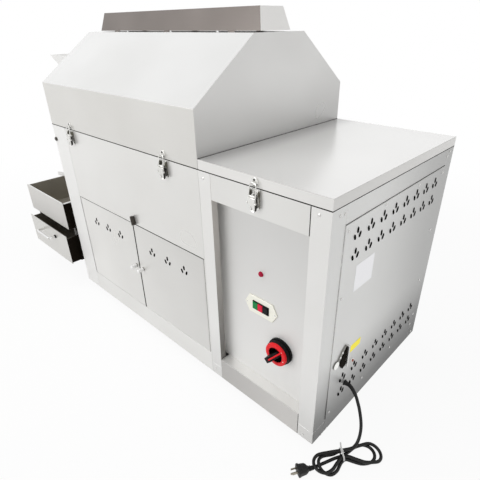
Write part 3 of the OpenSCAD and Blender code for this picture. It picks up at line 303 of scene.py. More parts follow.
sections = [(-3, 5.2, 5.2, 5.4, 2), (4, 5.6, 5.6, 5.8, 2), (4.8, 6.4, 6.4, 6.6, 2), (6.6, 6.5, 6.5, 6.7, 2),
            (7.4, 5.8, 5.8, 6.2, 2), (9.4, 6, 6, 6.6, 2), (10.2, 7.2, 7.2, 7.6, 2), (12, 7.6, 7.6, 8, 2.2),
            (15, 10.4, 9.4, 9.8, 2.6), (19, 12.4, 10.4, 10.7, 3), (26, 12.8, 10.6, 10.9, 3.6),
            (33, 13.2, 10.8, 11.1, 4.2), (34, 14.4, 11.6, 11.9, 4.6), (38.2, 14.4, 11.6, 11.9, 4.6),
            (39, 13.7, 10.9, 11.9, 4.6)]
plug_body = loft([plug_ring(*s) for s in sections], "plug_body", 50)
finish(plug_body, "cabinet", "black_plastic", "plug", material=rubber_black)


def add_block(bm, lo, hi, place=Matrix.Identity(4)):
    """Adds a block between two corners (m) to a mesh."""
    lo, hi = Vector(lo), Vector(hi)
    size = Matrix.Diagonal((*(hi - lo), 1))
    bmesh.ops.create_cube(bm, size=1, matrix=place @ Matrix.Translation((lo + hi) / 2) @ size)


def applied(piece, modifier, sharp=35):
    """Gives a piece the mesh that its modifier makes, and takes the modifier off."""
    bpy.context.view_layer.update()
    mesh = bpy.data.meshes.new_from_object(piece.evaluated_get(bpy.context.evaluated_depsgraph_get()))
    piece.modifiers.remove(modifier)
    piece.data = mesh
    mesh.shade_smooth()
    mesh.set_sharp_from_angle(angle=math.radians(sharp))
    return piece


def rounded(piece, width, segments=2, angle=30, flat_from=4e-5):
    """Rolls the edges of a finished mesh over, and keeps its wide faces (square metres) flat."""
    bevel = piece.modifiers.new("rolled", "BEVEL")
    bevel.width = width
    bevel.segments = segments
    bevel.limit_method = "ANGLE"
    bevel.angle_limit = math.radians(angle)
    bevel.use_clamp_overlap = True
    applied(piece, bevel)
    for face in piece.data.polygons:
        face.use_smooth = face.area < flat_from
    return piece


plug_place = Matrix.Translation(plug_neck) @ Matrix(
    ((*[plug_way.x, plug_side.x, 0], 0), (*[plug_way.y, plug_side.y, 0], 0), (0, 0, 1, 0), (0, 0, 0, 1)))
bm = bmesh.new()
for side in (-1, 1):
    add_block(bm, (0.037, side * 0.0064 - 0.00075, 0.0108), (0.0535, side * 0.0064 + 0.00075, 0.0171), plug_place)
plug_blades = rounded(piece_from(bm, "plug_blades"), 0.0005)
pin_line = [plug_place @ Vector((0.037 + 0.001 * i, 0, 0.0066)) for i in range(20)]
earth_pin = loft(tube_rings(pin_line, [0.0024] * 18 + [0.0021, 0.0012], 16), "earth_pin")
plug_brass = mottled("plug_brass", (0.30, 0.27, 0.22), (0.40, 0.37, 0.31), 300, (0.25, 0.38), metal=0.9)
for piece in (plug_blades, earth_pin):
    finish(piece, "cabinet", "bright_steel", material=plug_brass)

waist, waist_wide, waist_high, waist_mid = [], 15.6, 10.2, 9.2
for k in range(40):
    c, s = math.cos(2 * math.pi * k / 40), math.sin(2 * math.pi * k / 40)
    waist.append((waist_wide * abs(c) ** 0.75 * math.copysign(1, c),
                  max(0.2, waist_mid + waist_high * abs(s) ** 0.8 * math.copysign(1, s))))
hank_place = Matrix.Translation(on_hank(0, 0, 0)) @ Matrix.Rotation(hank_lean, 4, "Z")
bm = bmesh.new()
band = ((-1.9, 0), (-1.9, 1.0), (1.9, 1.0), (1.9, 0))
skin(bm, [[on_hank(along, x * (1 + out / 16), max(0.1, z + out * (0.9 if z > 9 else 0.0))) for x, z in waist]
          for along, out in band], ends=False)
add_block(bm, (-0.003, -0.0015, 0.0185), (0.003, 0.0055, 0.0235), hank_place)
tail = ((-0.0019, 0), (0.0019, 0), (0.0019, 0.0013), (-0.0019, 0.0013))
skin(bm, [[hank_place @ Vector((x + dx, y, z + dz)) for dx, dz in tail]
          for x, y, z in ((0, 0.002, 0.021), (0, 0.008, 0.0225), (0.0006, 0.014, 0.0252), (0.0015, 0.019, 0.029))])
cable_tie = piece_from(bm, "cable_tie", 40)
nylon_white = mottled("nylon_white", (0.82, 0.82, 0.81), (0.88, 0.88, 0.87), 200, (0.3, 0.42))
finish(cable_tie, "cabinet", "white_plastic", material=nylon_white)


# Stage: a white studio floor that keeps the machine's soft shadow, with a white surround. Near the
# machine the floor is lit as paint is, and farther off the camera and mirrors see plain white.
def plainly_seen(tree):
    """1 where the camera, a mirror or glass looks, and 0 for light that falls on the machine."""
    path = tree.nodes.new("ShaderNodeLightPath").outputs
    seen = added(tree, "ShaderNodeMath", operation="MAXIMUM", In_0=path["Is Camera Ray"], In_1=path["Is Glossy Ray"])
    return added(tree, "ShaderNodeMath", operation="MAXIMUM", In_0=seen, In_1=path["Is Transmission Ray"])


bm = bmesh.new()
bmesh.ops.create_grid(bm, x_segments=1, y_segments=1, size=60)
floor = piece_from(bm, "floor")
floor_white, paint = new_material("floor_white", (0.9, 0.9, 0.9), 0.8)
tree = floor_white.node_tree
spot = added(tree, "ShaderNodeTexCoord", "Object")
away = added(tree, "ShaderNodeVectorMath", "Value", operation="LENGTH", In_0=spot)
whiteness = added(tree, "ShaderNodeMapRange", interpolation_type="SMOOTHSTEP", Value=away, From_Min=0.9, From_Max=2.6,
                  To_Min=0.93, To_Max=1.0)
share = added(tree, "ShaderNodeMath", operation="MULTIPLY", In_0=plainly_seen(tree), In_1=whiteness)
plain_white = added(tree, "ShaderNodeEmission", Color=(1, 1, 1, 1), Strength=1.0)
joined(tree.nodes["Material Output"],
       Surface=added(tree, "ShaderNodeMixShader", In_0=share, In_1=paint.outputs[0], In_2=plain_white))
floor.data.materials.append(floor_white)

world = bpy.data.worlds.new("studio")
world.use_nodes = True
scene.world = world
sky = world.node_tree
joined(sky.nodes["Background"], Color=(1, 1, 1, 1),
       Strength=added(sky, "ShaderNodeMapRange", Value=plainly_seen(sky), To_Min=0.36, To_Max=1.0))


def lamp(name, place, target, size, power):
    """A large soft lamp that faces a target."""
    light = bpy.data.lights.new(name, "AREA")
    light.shape = "RECTANGLE"
    light.size, light.size_y = size
    light.energy = power
    holder = placed(name, light)
    holder.location = place
    holder.rotation_euler = (Vector(target) - Vector(place)).to_track_quat("-Z", "Y").to_euler()
    return holder


lamp("overhead", (-0.4, -0.5, 3.4), (0, 0, 0.5), (3.2, 2.4), 36).visible_glossy = False
lamp("front_left", (-1.3, -3.3, 1.7), (0, 0, 0.5), (2.6, 2.0), 52)


# Cabinet sheets: 2 mm stainless, ground with one grain along the machine, folded on a press brake and
# spot welded to the tube frame. The front is a stile, an upper panel and a skirt round the doors.
def steel(name, light, dark, grain, rough=(0.24, 0.34), metal=0.5, waves=0.25):
    """Sheet steel: fine ground streaks, cloudy mottling, and slow waves in the thin sheet."""
    material, shader = new_material(name, light, rough[0], metal)
    tree = material.node_tree
    place = added(tree, "ShaderNodeTexCoord", "Object")
    stretched = added(tree, "ShaderNodeMapping", Vector=place, Scale=grain)
    streaks = added(tree, "ShaderNodeTexNoise", Vector=stretched, Scale=1.0, Detail=2.0, Roughness=0.5)
    clouds = added(tree, "ShaderNodeTexNoise", Vector=place, Scale=3.2, Detail=2.0, Roughness=0.5)
    blend = added(tree, "ShaderNodeMath", operation="MULTIPLY_ADD", In_0=streaks, In_1=0.1, In_2=clouds)
    tone = added(tree, "ShaderNodeMapRange", Value=blend, From_Min=0.4, From_Max=0.7)
    slow = added(tree, "ShaderNodeBump", Height=clouds, Strength=waves, Distance=0.004)
    joined(shader, Base_Color=mixed(tree, tone, dark, light),
           Roughness=added(tree, "ShaderNodeMapRange", Value=clouds, To_Min=rough[0], To_Max=rough[1]),
           Normal=added(tree, "ShaderNodeBump", Height=streaks, Normal=slow, Strength=0.02, Distance=0.0002))
    return material


def painted_shade_fade(material, axis, start, end, first, last):
    """Dims a finish from one place to another (mm) along an axis: painted shade and painted reflection."""
    tree = material.node_tree
    shader = tree.nodes["Principled BSDF"]
    colour = shader.inputs["Base Color"].links[0].from_socket
    place = added(tree, "ShaderNodeSeparateXYZ", axis, Vector=added(tree, "ShaderNodeTexCoord", "Object"))
    i = "XYZ".index(axis)
    ramp = added(tree, "ShaderNodeMapRange", interpolation_type="SMOOTHSTEP", Value=place, From_Min=at(*[start] * 3)[i],
                 From_Max=at(*[end] * 3)[i], To_Min=first, To_Max=last)
    joined(shader, Base_Color=added(tree, "ShaderNodeVectorMath", operation="SCALE", In_0=colour, Scale=ramp))
    return material


def toned(piece, *tones):
    """Gives chosen faces another material, which mostly paints light and shade on them; each tone is a material and its
    test of a face's way and centre.
    """
    mesh = piece.data
    for material, test in tones:
        mesh.materials.append(material)
        for face in mesh.polygons:
            if test(face.normal, face.center):
                face.material_index = len(mesh.materials) - 1
    return piece


def painted(material, *names):
    """Gives CAD nodes that are kept as they are their finish."""
    for name in names:
        nodes[name].data.materials.clear()
        nodes[name].data.materials.append(material)


long_grain, cross_grain, upright_grain = (16, 1500, 1500), (1500, 16, 1500), (1500, 1500, 16)
cabinet_steel = steel("cabinet_steel", (0.80, 0.795, 0.775), (0.76, 0.753, 0.73), long_grain)
# Painted shade: the posts darken towards the floor.
post_steel = painted_shade_fade(steel("post_steel", (0.85, 0.845, 0.83), (0.81, 0.803, 0.785), upright_grain),
                   "Z", 24, 260, 0.84, 1.0)
stile_steel = steel("stile_steel", (0.86, 0.855, 0.84), (0.83, 0.825, 0.81), upright_grain, (0.5, 0.6), 0.15, 0.1)
# Painted shade: the control panel darkens towards its top.
panel_steel = painted_shade_fade(steel("panel_steel", (0.84, 0.835, 0.82), (0.81, 0.805, 0.79), upright_grain, (0.4, 0.5),
                          0.25, 0.12), "Z", 97, 640, 1.05, 0.84)
# Painted shade: a dark steel for the mid post's reveal, darkest low down.
reveal_steel = painted_shade_fade(steel("reveal_steel", (0.42, 0.405, 0.385), (0.37, 0.355, 0.335), upright_grain),
                     "Z", 97, 560, 0.5, 1.6)
# Painted shade: the side steel darkens towards the back and strongly towards the floor.
side_steel = painted_shade_fade(steel("side_steel", (0.90, 0.90, 0.885), (0.86, 0.86, 0.845), cross_grain, (0.36, 0.46)),
                   "Y", 120, 560, 1.0, 0.62)
painted_shade_fade(side_steel, "Z", 20, 300, 0.2, 1.0)
# Painted light and shade: the sill's front is a darker copy, lighter towards the right, and its top a lighter copy.
sill_front = painted_shade_fade(steel("sill_front", (0.62, 0.605, 0.585), (0.56, 0.545, 0.525), long_grain),
                   "X", 772, 1093, 0.75, 1.05)
sill_bright = steel("sill_bright", (0.88, 0.875, 0.855), (0.84, 0.835, 0.815), long_grain, (0.3, 0.4), 0.5)
# A black finish for the painted rack, also used as painted shade on the boxes' right sides and as a painted shadow
# beside the gas tap.
guide_black = mottled("guide_black", (0.006, 0.004, 0.002), (0.011, 0.008, 0.005), 200, (0.8, 0.9), bump=0.1,
                      Specular_IOR_Level=0.08)
# Painted shade: black for the vent slots' walls and rims and the baffles behind them.
slot_black = mottled("slot_black", (0.006, 0.006, 0.005), (0.011, 0.010, 0.009), 300, (0.8, 0.9), bump=0.1,
                     Specular_IOR_Level=0.08)
# Painted shade: a dark steel for the inside of the cabinet and the doors, and for the knobs' shadow rings.
inner_steel = steel("inner_steel", (0.30, 0.29, 0.275), (0.22, 0.21, 0.20), long_grain, (0.38, 0.55))


def sheet_copy(node, roll=0.0009, name=None, angle=40, keep=lambda vert: True):
    """A pressed sheet as its solid gives it, or the part of it that is kept, with its edges rolled over."""
    bm = bmesh.new()
    bm.from_mesh(nodes[node].data)
    bmesh.ops.remove_doubles(bm, verts=bm.verts, dist=2e-6)
    bmesh.ops.delete(bm, geom=[v for v in bm.verts if not keep(v)], context="VERTS")
    bmesh.ops.dissolve_limit(bm, angle_limit=math.radians(0.6), verts=bm.verts, edges=bm.edges)
    mesh = bpy.data.meshes.new(name or node + "_sheet")
    bm.to_mesh(mesh)
    bm.free()
    return rounded(placed(mesh.name, mesh), roll, 2, angle)


def slab(lo, hi, name, roll=0.9):
    """A flat sheet between two corners in mm, with its edges rolled over."""
    bm = bmesh.new()
    add_block(bm, at(*lo), at(*hi))
    return rounded(piece_from(bm, name), roll / 1000, 3)


def slabs(roll, slot, material, rows):
    """Flat sheets of one kind; a row is a name, two corners and, where it isn't the cabinet, a body."""
    for name, lo, hi, *body in rows:
        finish(slab(lo, hi, name, roll), body[0] if body else "cabinet", slot, material=material)


side_face, post_face, seam_z = 1142, 1140, 660
for node, material in (("frame", post_steel), ("back_panel", cabinet_steel), ("left_end_panel", side_steel),
                       ("control_panel", panel_steel), ("apron", cabinet_steel), ("side_panel", side_steel)):
    sheet = finish(sheet_copy(node), "cabinet", "stainless", node, material=material)
    if node == "side_panel":
        low, high = at(0, 62, 84), at(0, 528, 604)
        # Painted shade: the side panel's slot walls are black.
        toned(sheet, (slot_black, lambda n, c: abs(n.x) < 0.6 and low.y < c.y < high.y and low.z < c.z < high.z))
    if node == "frame":
        reveal, sill = at(812, 40, 140), at(814, 0, 110)
        post, end = at(1092.6, 0, 0).x, at(1130, 0, 0).x
        # Painted light and shade on the frame: its right faces take the shaded side steel, the reveal and the sill's
        # front darker steels, and the sill's top a lighter one.
        toned(sheet, (side_steel, lambda n, c: n.x > 0.7 and c.x > end),
              (reveal_steel, lambda n, c: n.x > 0.7 and reveal.x < c.x < sill.x),
              (sill_front, lambda n, c: n.y < -0.7 and sill.x < c.x < post and c.z < sill.z),
              (sill_bright, lambda n, c: n.z > 0.4 and c.z < reveal.z and c.y < reveal.y))
# Painted shade: the base pan and bulkhead inside are a dark steel.
painted(inner_steel, "base_pan", "bulkhead")
stile = slab((0, 0, 24), (93.6, 2, seam_z), "front_stile")
finish(stile, "cabinet", "stainless", "front_panel", material=stile_steel)
slabs(0.9, "stainless", cabinet_steel,
      (("front_upper", (94.6, 0, 418), (771.6, 2, seam_z)), ("front_skirt", (94.6, 0, 24), (771.6, 2, 96.8)),
       ("front_edge", (768.3, 0, 97.5), (771.6, 2, 417.3))))


# Screws: stainless pan heads that hold the side panel, the posts, the switch plate and the gas cock.
# They are set in rows and each stands on the face that it clamps.
def tree_with(name, **sizes):
    """A node tree with a geometry input and named sizes; returns it and what its input node gives."""
    tree = bpy.data.node_groups.new(name, "GeometryNodeTree")
    tree.interface.new_socket("Geometry", in_out="INPUT", socket_type="NodeSocketGeometry")
    for key, value in sizes.items():
        size = tree.interface.new_socket(key.replace("_", " "), in_out="INPUT", socket_type="NodeSocketFloat")
        size.default_value = value
    tree.interface.new_socket("Geometry", in_out="OUTPUT", socket_type="NodeSocketGeometry")
    return tree, tree.nodes.new("NodeGroupInput").outputs


def finish_tree(tree, geometry, material):
    """Ends a tree: real geometry, its material, and the output."""
    real = added(tree, "GeometryNodeRealizeInstances", Geometry=geometry)
    dressed = added(tree, "GeometryNodeSetMaterial", Geometry=real, Material=material)
    joined(tree.nodes.new("NodeGroupOutput"), Geometry=dressed)


def grown(name, mesh, tree, material, body, slot, **sizes):
    """Runs a tree on a mesh and keeps the plain result as a piece on a body."""
    piece = placed(name, mesh)
    modifier = piece.modifiers.new("grown", "NODES")
    modifier.node_group = tree
    for item in tree.interface.items_tree:
        key = item.name.replace(" ", "_")
        if item.in_out == "INPUT" and key in sizes:
            modifier[item.identifier] = sizes[key]
    return finish(applied(piece, modifier), body, slot, material=material)


def points_with(name, points, attribute, values):
    """A mesh of loose points, each with a vector of its own."""
    mesh = bpy.data.meshes.new(name)
    mesh.from_pydata([tuple(p) for p in points], [], [])
    mesh.attributes.new(attribute, "FLOAT_VECTOR", "POINT").data.foreach_set("vector", [c for v in values for c in v])
    return mesh


def set_on(tree, points, shape, attribute, align=False):
    """Sets a shape on points, turned by their attribute, or with its Z along it."""
    turn = added(tree, "GeometryNodeInputNamedAttribute", "Attribute", data_type="FLOAT_VECTOR", Name=attribute)
    if align:
        turn = added(tree, "FunctionNodeAlignRotationToVector", Vector=turn)
    return added(tree, "GeometryNodeInstanceOnPoints", Points=points, Instance=shape, Rotation=turn)


def times(tree, socket, factor):
    """One of a tree's sizes, times a factor."""
    return added(tree, "ShaderNodeMath", operation="MULTIPLY", In_0=socket, In_1=factor)


bright_steel = steel("bright_steel", (0.78, 0.775, 0.76), (0.68, 0.672, 0.655), (300, 300, 300), (0.16, 0.3), 0.85, 0.1)
screws, given = tree_with("pan_heads", Head_radius=0.0034, Head_height=0.0019)
radius, height = given["Head radius"], given["Head height"]
half = times(screws, height, 0.5)
rim = added(screws, "GeometryNodeMeshCylinder", Vertices=20, Radius=radius, Depth=half)
dome = added(screws, "GeometryNodeMeshCone", Vertices=20, Radius_Bottom=radius, Radius_Top=times(screws, radius, 0.55),
             Depth=half)
head = screws.nodes.new("GeometryNodeJoinGeometry")
for shape, rise in ((rim, times(screws, height, 0.25)), (dome, half)):
    lift = added(screws, "ShaderNodeCombineXYZ", Z=rise)
    joined(head, Geometry=added(screws, "GeometryNodeTransform", Geometry=shape, Translation=lift))
finish_tree(screws, set_on(screws, given["Geometry"], head.outputs[0], "facing", align=True), bright_steel)


def screw_heads(name, places, body="cabinet", **sizes):
    """Screw heads at points, each with the way that it faces."""
    mesh = points_with(name, [p for p, way in places], "facing", [way for p, way in places])
    grown(name, mesh, screws, bright_steel, body, "bright_steel", **sizes)


right, front = (1, 0, 0), (0, -1, 0)
side_rows = [(382, 607), (213, 609), (530, 600), (530, 431), (530, 260), (61, 600), (61, 440), (62, 90),
             (226, 84), (390, 84), (530, 90)]
corner_rows = [(44, 642), (27, 644), (560, 651), (546, 641), (60, 29), (37, 27), (560, 40), (546, 120)]
front_corners = [(789, 643), (1112, 646), (785, 45), (1109, 37)]
screw_heads("cabinet_screws", [(at(side_face, y, z), right) for y, z in side_rows]
            + [(at(post_face, y, z), right) for y, z in corner_rows]
            + [(at(x, 0, z), front) for x, z in front_corners])


# Hood: one folded 1.5 mm sheet with welded ends over the drum, with a raised vent cap along its top and a
# feed hopper at its left end. It hinges at the back. Black seals line the seams round it and the lid, and
# also paint the shade in these gaps. Its slopes, ends and cap carry lit and shaded copies of its steel as
# painted light, painted shade and painted reflection.
hood_steel = steel("hood_steel", (0.72, 0.71, 0.685), (0.68, 0.67, 0.64), long_grain)
# Painted light: a lighter copy for the hood's slopes, and for its ends a lighter copy that darkens towards their foot
# as painted shade.
slope_steel = steel("slope_steel", (0.86, 0.86, 0.855), (0.80, 0.80, 0.79), upright_grain, (0.2, 0.3), 0.6, 0.4)
end_steel = painted_shade_fade(steel("end_steel", (0.84, 0.835, 0.82), (0.78, 0.775, 0.76), cross_grain), "Z", 661, 860, 0.74, 1.0)
# Painted reflection: a dark copy for the vent cap's front faces, and a light copy for its ends.
cap_steel = steel("cap_steel", (0.22, 0.195, 0.18), (0.17, 0.148, 0.135), long_grain, (0.3, 0.42))
cap_end = steel("cap_end", (0.93, 0.92, 0.90), (0.88, 0.87, 0.85), cross_grain)
hopper_steel = steel("hopper_steel", (0.82, 0.815, 0.80), (0.74, 0.735, 0.72), cross_grain)
# Black seals that also paint the shade in the seams and gaps, and a painted shadow under the drawer's pull.
seal_black = mottled("seal_black", (0.008, 0.007, 0.006), (0.014, 0.013, 0.012), 500, (0.8, 0.95), bump=0.1,
                     Specular_IOR_Level=0.1)
chrome = steel("chrome", (0.86, 0.86, 0.86), (0.80, 0.80, 0.80), (200, 200, 200), (0.08, 0.16), 0.9, 0.05)

hood = finish(sheet_copy("hood_shell"), "hood", "stainless", "hood_shell", material=hood_steel)
# Painted light and shade: the hood's ends and slopes take their lit and shaded copies.
toned(hood, (end_steel, lambda n, c: abs(n.x) > 0.9), (slope_steel, lambda n, c: n.z > 0.3 and abs(n.x) < 0.5))
cap = finish(sheet_copy("vent_cap"), "hood", "stainless", "vent_cap", material=cap_end)
# Painted reflection: the cap's front faces take the dark copy.
toned(cap, (cap_steel, lambda n, c: n.y < -0.3))
finish(sheet_copy("feed_hopper"), "hood", "stainless", "feed_hopper", material=hopper_steel)
# Black seal strips that also paint the shade in the seams round the hood and the lid.
slabs(0.3, "black_rubber", seal_black,
      (("seam_front", (0.5, -0.5, 659.3), (772, 1.5, 661.2)),
       ("seam_lid_front", (773.5, -0.45, 659.2), (1140, 1.5, 661.4)),
       ("seam_lid_side", (1138.5, 0, 659.7), (1140.45, 584, 661.2)),
       ("seam_hood_foot", (772.1, 1, 684.2), (773.6, 584, 685.5), "top_lid")))
bm = bmesh.new()
for x in (183, 409, 608):
    add_block(bm, at(x - 4, 233.8, 936.8), at(x + 4, 236.2, 940.5))
finish(piece_from(bm, "cap_spacers"), "hood", "bright_steel", material=chrome)


# Top lid: a flat pan of the same sheet over the control bay, hinged at the back; its top, lips and rolled
# edge are lit and shaded copies of its steel: the top painted light and dimmed near the hood as painted
# shade, the lips painted shade, and the edge a darker, duller copy that paints out its highlight.
# Painted light and shade: a lighter copy for the top, dimmed towards the hood, a darker copy for the lips, and a
# darker, duller copy for the rolled edge.
lid_steel = painted_shade_fade(steel("lid_steel", (0.97, 0.965, 0.955), (0.94, 0.935, 0.925), long_grain, (0.2, 0.3)),
                  "X", 773, 860, 0.64, 1.0)
lip_steel = steel("lip_steel", (0.84, 0.83, 0.81), (0.79, 0.78, 0.76), long_grain)
lid_edge = steel("lid_edge", (0.62, 0.61, 0.59), (0.56, 0.55, 0.53), long_grain, (0.6, 0.7), 0.2, 0.1)
lid = finish(sheet_copy("top_lid", 0.0005), "top_lid", "stainless", "top_lid", material=lid_steel)
toned(lid, (lip_steel, lambda n, c: n.z < 0.3), (lid_edge, lambda n, c: 0.3 <= n.z < 0.96))


# Doors: two pressed pans with vents, a black baffle behind them that paints the vents' shade, and a plain
# turned knob each with a dark ring at its foot that paints its shadow. Black seals close the seam between
# them and the gaps round them, and also paint the shade in these gaps. The doors are painted lighter
# towards the left, and their inner faces and slot walls are painted shade.
def main_part(piece):
    """Keeps the widest loose part of a copied solid."""
    bm = bmesh.new()
    bm.from_mesh(piece.data)
    left, parts = set(bm.verts), []
    while left:
        part, edge = [], [left.pop()]
        while edge:
            vert = edge.pop()
            part.append(vert)
            found = {link.other_vert(vert) for link in vert.link_edges} & left
            left -= found
            edge += found
        parts.append(part)
    parts.sort(key=lambda part: min(v.co.x for v in part) - max(v.co.x for v in part))
    bmesh.ops.delete(bm, geom=[v for part in parts[1:] for v in part], context="VERTS")
    bm.to_mesh(piece.data)
    bm.free()
    return piece


def turned(name, profile, centre, axis, count=32, smooth=40):
    """A round piece: its profile is (distance along the axis, radius) in mm from the centre."""
    way = Vector(axis).normalized()
    side = way.orthogonal().normalized()
    other = way.cross(side)
    rings = [[centre + way * along / 1000 + radius / 1000 * (math.cos(a) * side + math.sin(a) * other)
              for a in (2 * math.pi * k / count for k in range(count))] for along, radius in profile]
    return loft(rings, name, smooth)


# Painted light and shade: the doors are lighter towards the left and darker towards the right.
door_steel = painted_shade_fade(steel("door_steel", (0.76, 0.752, 0.73), (0.72, 0.712, 0.69), long_grain), "X", 95, 768, 1.06, 0.92)
knob_white = mottled("knob_white", (0.98, 0.98, 0.97), (0.95, 0.95, 0.94), 200, (0.3, 0.4), metal=0.25, bump=0.03)
knob_z = 259
knob_line = [(2.2, 0.2), (2.2, 5.8), (3, 6.5), (10, 6.2), (18, 6.8), (20, 6.4), (20.9, 5), (21, 0.2)]
shadow_ring_line = [(0.3, 0.2), (0.3, 6.9), (1.2, 6.9), (2.4, 5.6), (2.4, 0.2)]
for side, knob_x, pan, baffle in (("left", 418.2, (110, 425), (120, 425)), ("right", 455.8, (449, 755), (455, 750))):
    name = "door_" + side
    door = finish(main_part(sheet_copy(name)), name, "stainless", name, material=door_steel)
    inside, low, high = at(pan[0], 1.2, 125), at(0, 0, 290).z, at(pan[1], 0, 400)
    # Painted shade: the doors' inner faces are a dark steel and their slot walls black.
    toned(door, (inner_steel, lambda n, c: c.y > inside.y),
          (slot_black, lambda n, c: abs(n.y) < 0.6 and inside.x < c.x < high.x and low < c.z < high.z))
    # Painted shade: a black sheet behind each door's vents.
    slabs(0.2, "black_rubber", slot_black,
          [("door_baffle_" + side, (baffle[0], 2.1, 290), (baffle[1], 3.0, 395), name)])
    knob = turned("door_knob_" + side, knob_line, at(knob_x, 0, knob_z), front)
    finish(knob, name, "bright_steel", material=knob_white)
    # Painted shadow: a dark ring at the knob's foot.
    collar = turned("knob_collar_" + side, shadow_ring_line, at(knob_x, 0, knob_z), front, 24)
    finish(collar, name, "dark_steel", material=inner_steel)
# Black seal strips in the seam between the doors and round them, which also paint the shade in these gaps; the strips
# at the right door's top, the sill and the apron are painted shade alone.
slabs(0.2, "black_rubber", seal_black, [("seam_seal", (433.8, -0.45, 98.6), (438.6, 1.8, 416.2), "door_left")])
slabs(0.3, "black_rubber", seal_black,
      (("door_seal_top", (97, 2.6, 415.4), (768, 12, 421)),
       ("door_seal_foot", (97, 2.6, 94.6), (768, 12, 99)),
       ("door_drip_right", (446, -0.4, 416.6), (768, 0.6, 419.2)),
       ("sill_gap", (1092.2, -0.35, 26), (1093.8, 0.6, 97)),
       ("apron_gap", (1091.7, -0.4, 596), (1093.3, 0.6, 658.6)),
       ("door_seal_left", (92.4, 9, 99.4), (94.4, 13, 415)),
       ("door_seal_right", (767.2, 9, 99.4), (769.4, 13, 415))))


# Door catch: a dark steel barrel with a spring in it, on a flat foot. It is screwed to the front over
# the right door's upper corner, and leans a little.
lean = Matrix.Translation(at(452, 0, 419)) @ Matrix.Rotation(math.radians(-8), 4, "Y")
catch_black = steel("catch_black", (0.09, 0.078, 0.066), (0.045, 0.038, 0.032), upright_grain, (0.3, 0.45), 0.6)
barrel_line = [(0, 0.2), (0, 5.2), (0.8, 5.9), (7, 6), (7.6, 5.2), (9, 5.2), (9.6, 6), (22, 6), (22.6, 5.3), (24, 5.3),
               (24.6, 6), (27.2, 5.9), (28, 4.8), (28.1, 0.2)]
barrel = turned("door_catch_barrel", barrel_line, Vector((0, -0.007, 0)), (0, 0, 1), 28)
barrel.data.transform(lean)
bm = bmesh.new()
add_block(bm, (-0.005, -0.0066, 0.002), (0.005, -0.0003, 0.026), lean)
catch_foot = rounded(piece_from(bm, "door_catch_foot"), 0.0008)
finish(barrel, "cabinet", "dark_steel", "door_catch", material=catch_black)
finish(catch_foot, "cabinet", "dark_steel", material=catch_black)


# Toggle latches: a pressed base with two ears, a duckbill lever that pivots on it, a wire bail with a
# roll on the lever, and a hooked strike above the seam. All are plated steel, riveted on.
no_grain = (250, 250, 250)
plated = steel("plated", (0.80, 0.795, 0.77), (0.66, 0.655, 0.63), no_grain, (0.14, 0.26), 0.85, 0.1)
plated_shade = steel("plated_shade", (0.035, 0.032, 0.026), (0.02, 0.018, 0.015), no_grain, (0.4, 0.55), 0.4, 0.1)
# Painted shade: a dark olive copy for the right faces of the latch bases and ears.
plated_olive = steel("plated_olive", (0.15, 0.145, 0.115), (0.09, 0.087, 0.066), no_grain, (0.25, 0.4), 0.8, 0.1)


def channel(name, rings, wall, x):
    """A pressed channel that opens backwards; each ring is its height, reach to each side, front and back."""
    made = []
    for z, left, right_edge, near, far in rings:
        section = [(-left, far), (-left, near), (right_edge, near), (right_edge, far), (right_edge - wall, far),
                   (right_edge - wall, near + wall), (wall - left, near + wall), (wall - left, far)]
        made.append([at(x + dx, y, z) for dx, y in section])
    return rounded(loft(made, name), 0.0005, 2, 25)


def shaded_sides(piece):
    """Paints shade on the undersides and the right sides, where the light doesn't reach."""
    return toned(piece, (plated_shade, lambda n, c: n.x > 0.45 or n.z < -0.8))


def wire_piece(name, points, radius, count=10):
    """Bent round wire through the given points."""
    path = smooth_line([Vector(p) for p in points], 0.0012)
    return loft(tube_rings(path, [radius] * len(path), count), name)


lever_rings = [(642.4, 10.4, 9.6, -10.5, -8), (641, 10.8, 10.2, -13.2, -6), (634, 10, 10.3, -13.8, -5.4),
               (626, 8, 10, -13.3, -5.4), (619, 5.6, 9.6, -12.9, -5.6), (614, 3.4, 9, -13.1, -6.2),
               (611.8, 1.8, 8.2, -14.4, -9)]
base_rings = [(613.4, 9, 9, -1.6, -0.1), (616, 12.4, 12.4, -1.6, -0.1), (650, 12.4, 12.4, -1.6, -0.1),
              (656, 10, 10, -1.6, -0.1)]
lip_rings = [(664.5, 6.8, 6.8, -3.4, -1.8), (667.5, 6.8, 6.8, -4.9, -2), (669.6, 6.8, 6.8, -4.9, -2),
             (670.4, 6.8, 6.8, -4.2, -2.8)]
slot_line = [(-1.6, -12.9, 616.2), (0.4, -13.0, 615.4), (1.6, -12.9, 617.6), (0.2, -12.8, 619.8),
             (-1.2, -12.8, 621.4), (0.2, -12.9, 623.6)]
pivot_line = [(0, 0.2), (0, 2.6), (1.2, 2.6), (1.8, 1.6), (1.9, 0.2)]
roll_line = [(0, 0.2), (0, 1.9), (0.5, 2.3), (19.5, 2.3), (20, 1.9), (20, 0.2)]
rivet_line = [(0, 0.2), (0, 2.5), (0.7, 2.4), (0.8, 1.2), (0.3, 0.8), (0.3, 0.1)]
ends = ((-1, "left"), (1, "right"))
bail_leg = [(9.6, -12, 629), (9.4, -11.2, 640), (9.2, -9.4, 655), (8.8, -7.4, 667), (7.4, -6.5, 671), (5, -6.4, 672.2)]
bail_line = [(-dx, y, z) for dx, y, z in bail_leg] + [(0, -6.4, 672.4)] + bail_leg[::-1]
ear_line = [(-1.2, 657), (-4.4, 656.4), (-8, 652), (-8, 646), (-4.4, 642.2), (-1.2, 641.6)]
strike_side = [(9.6, 663), (9.8, 672), (8, 678.5), (4, 682.4)]
strike_line = [(-dx, z) for dx, z in strike_side] + [(0, 683.4)] + strike_side[::-1]
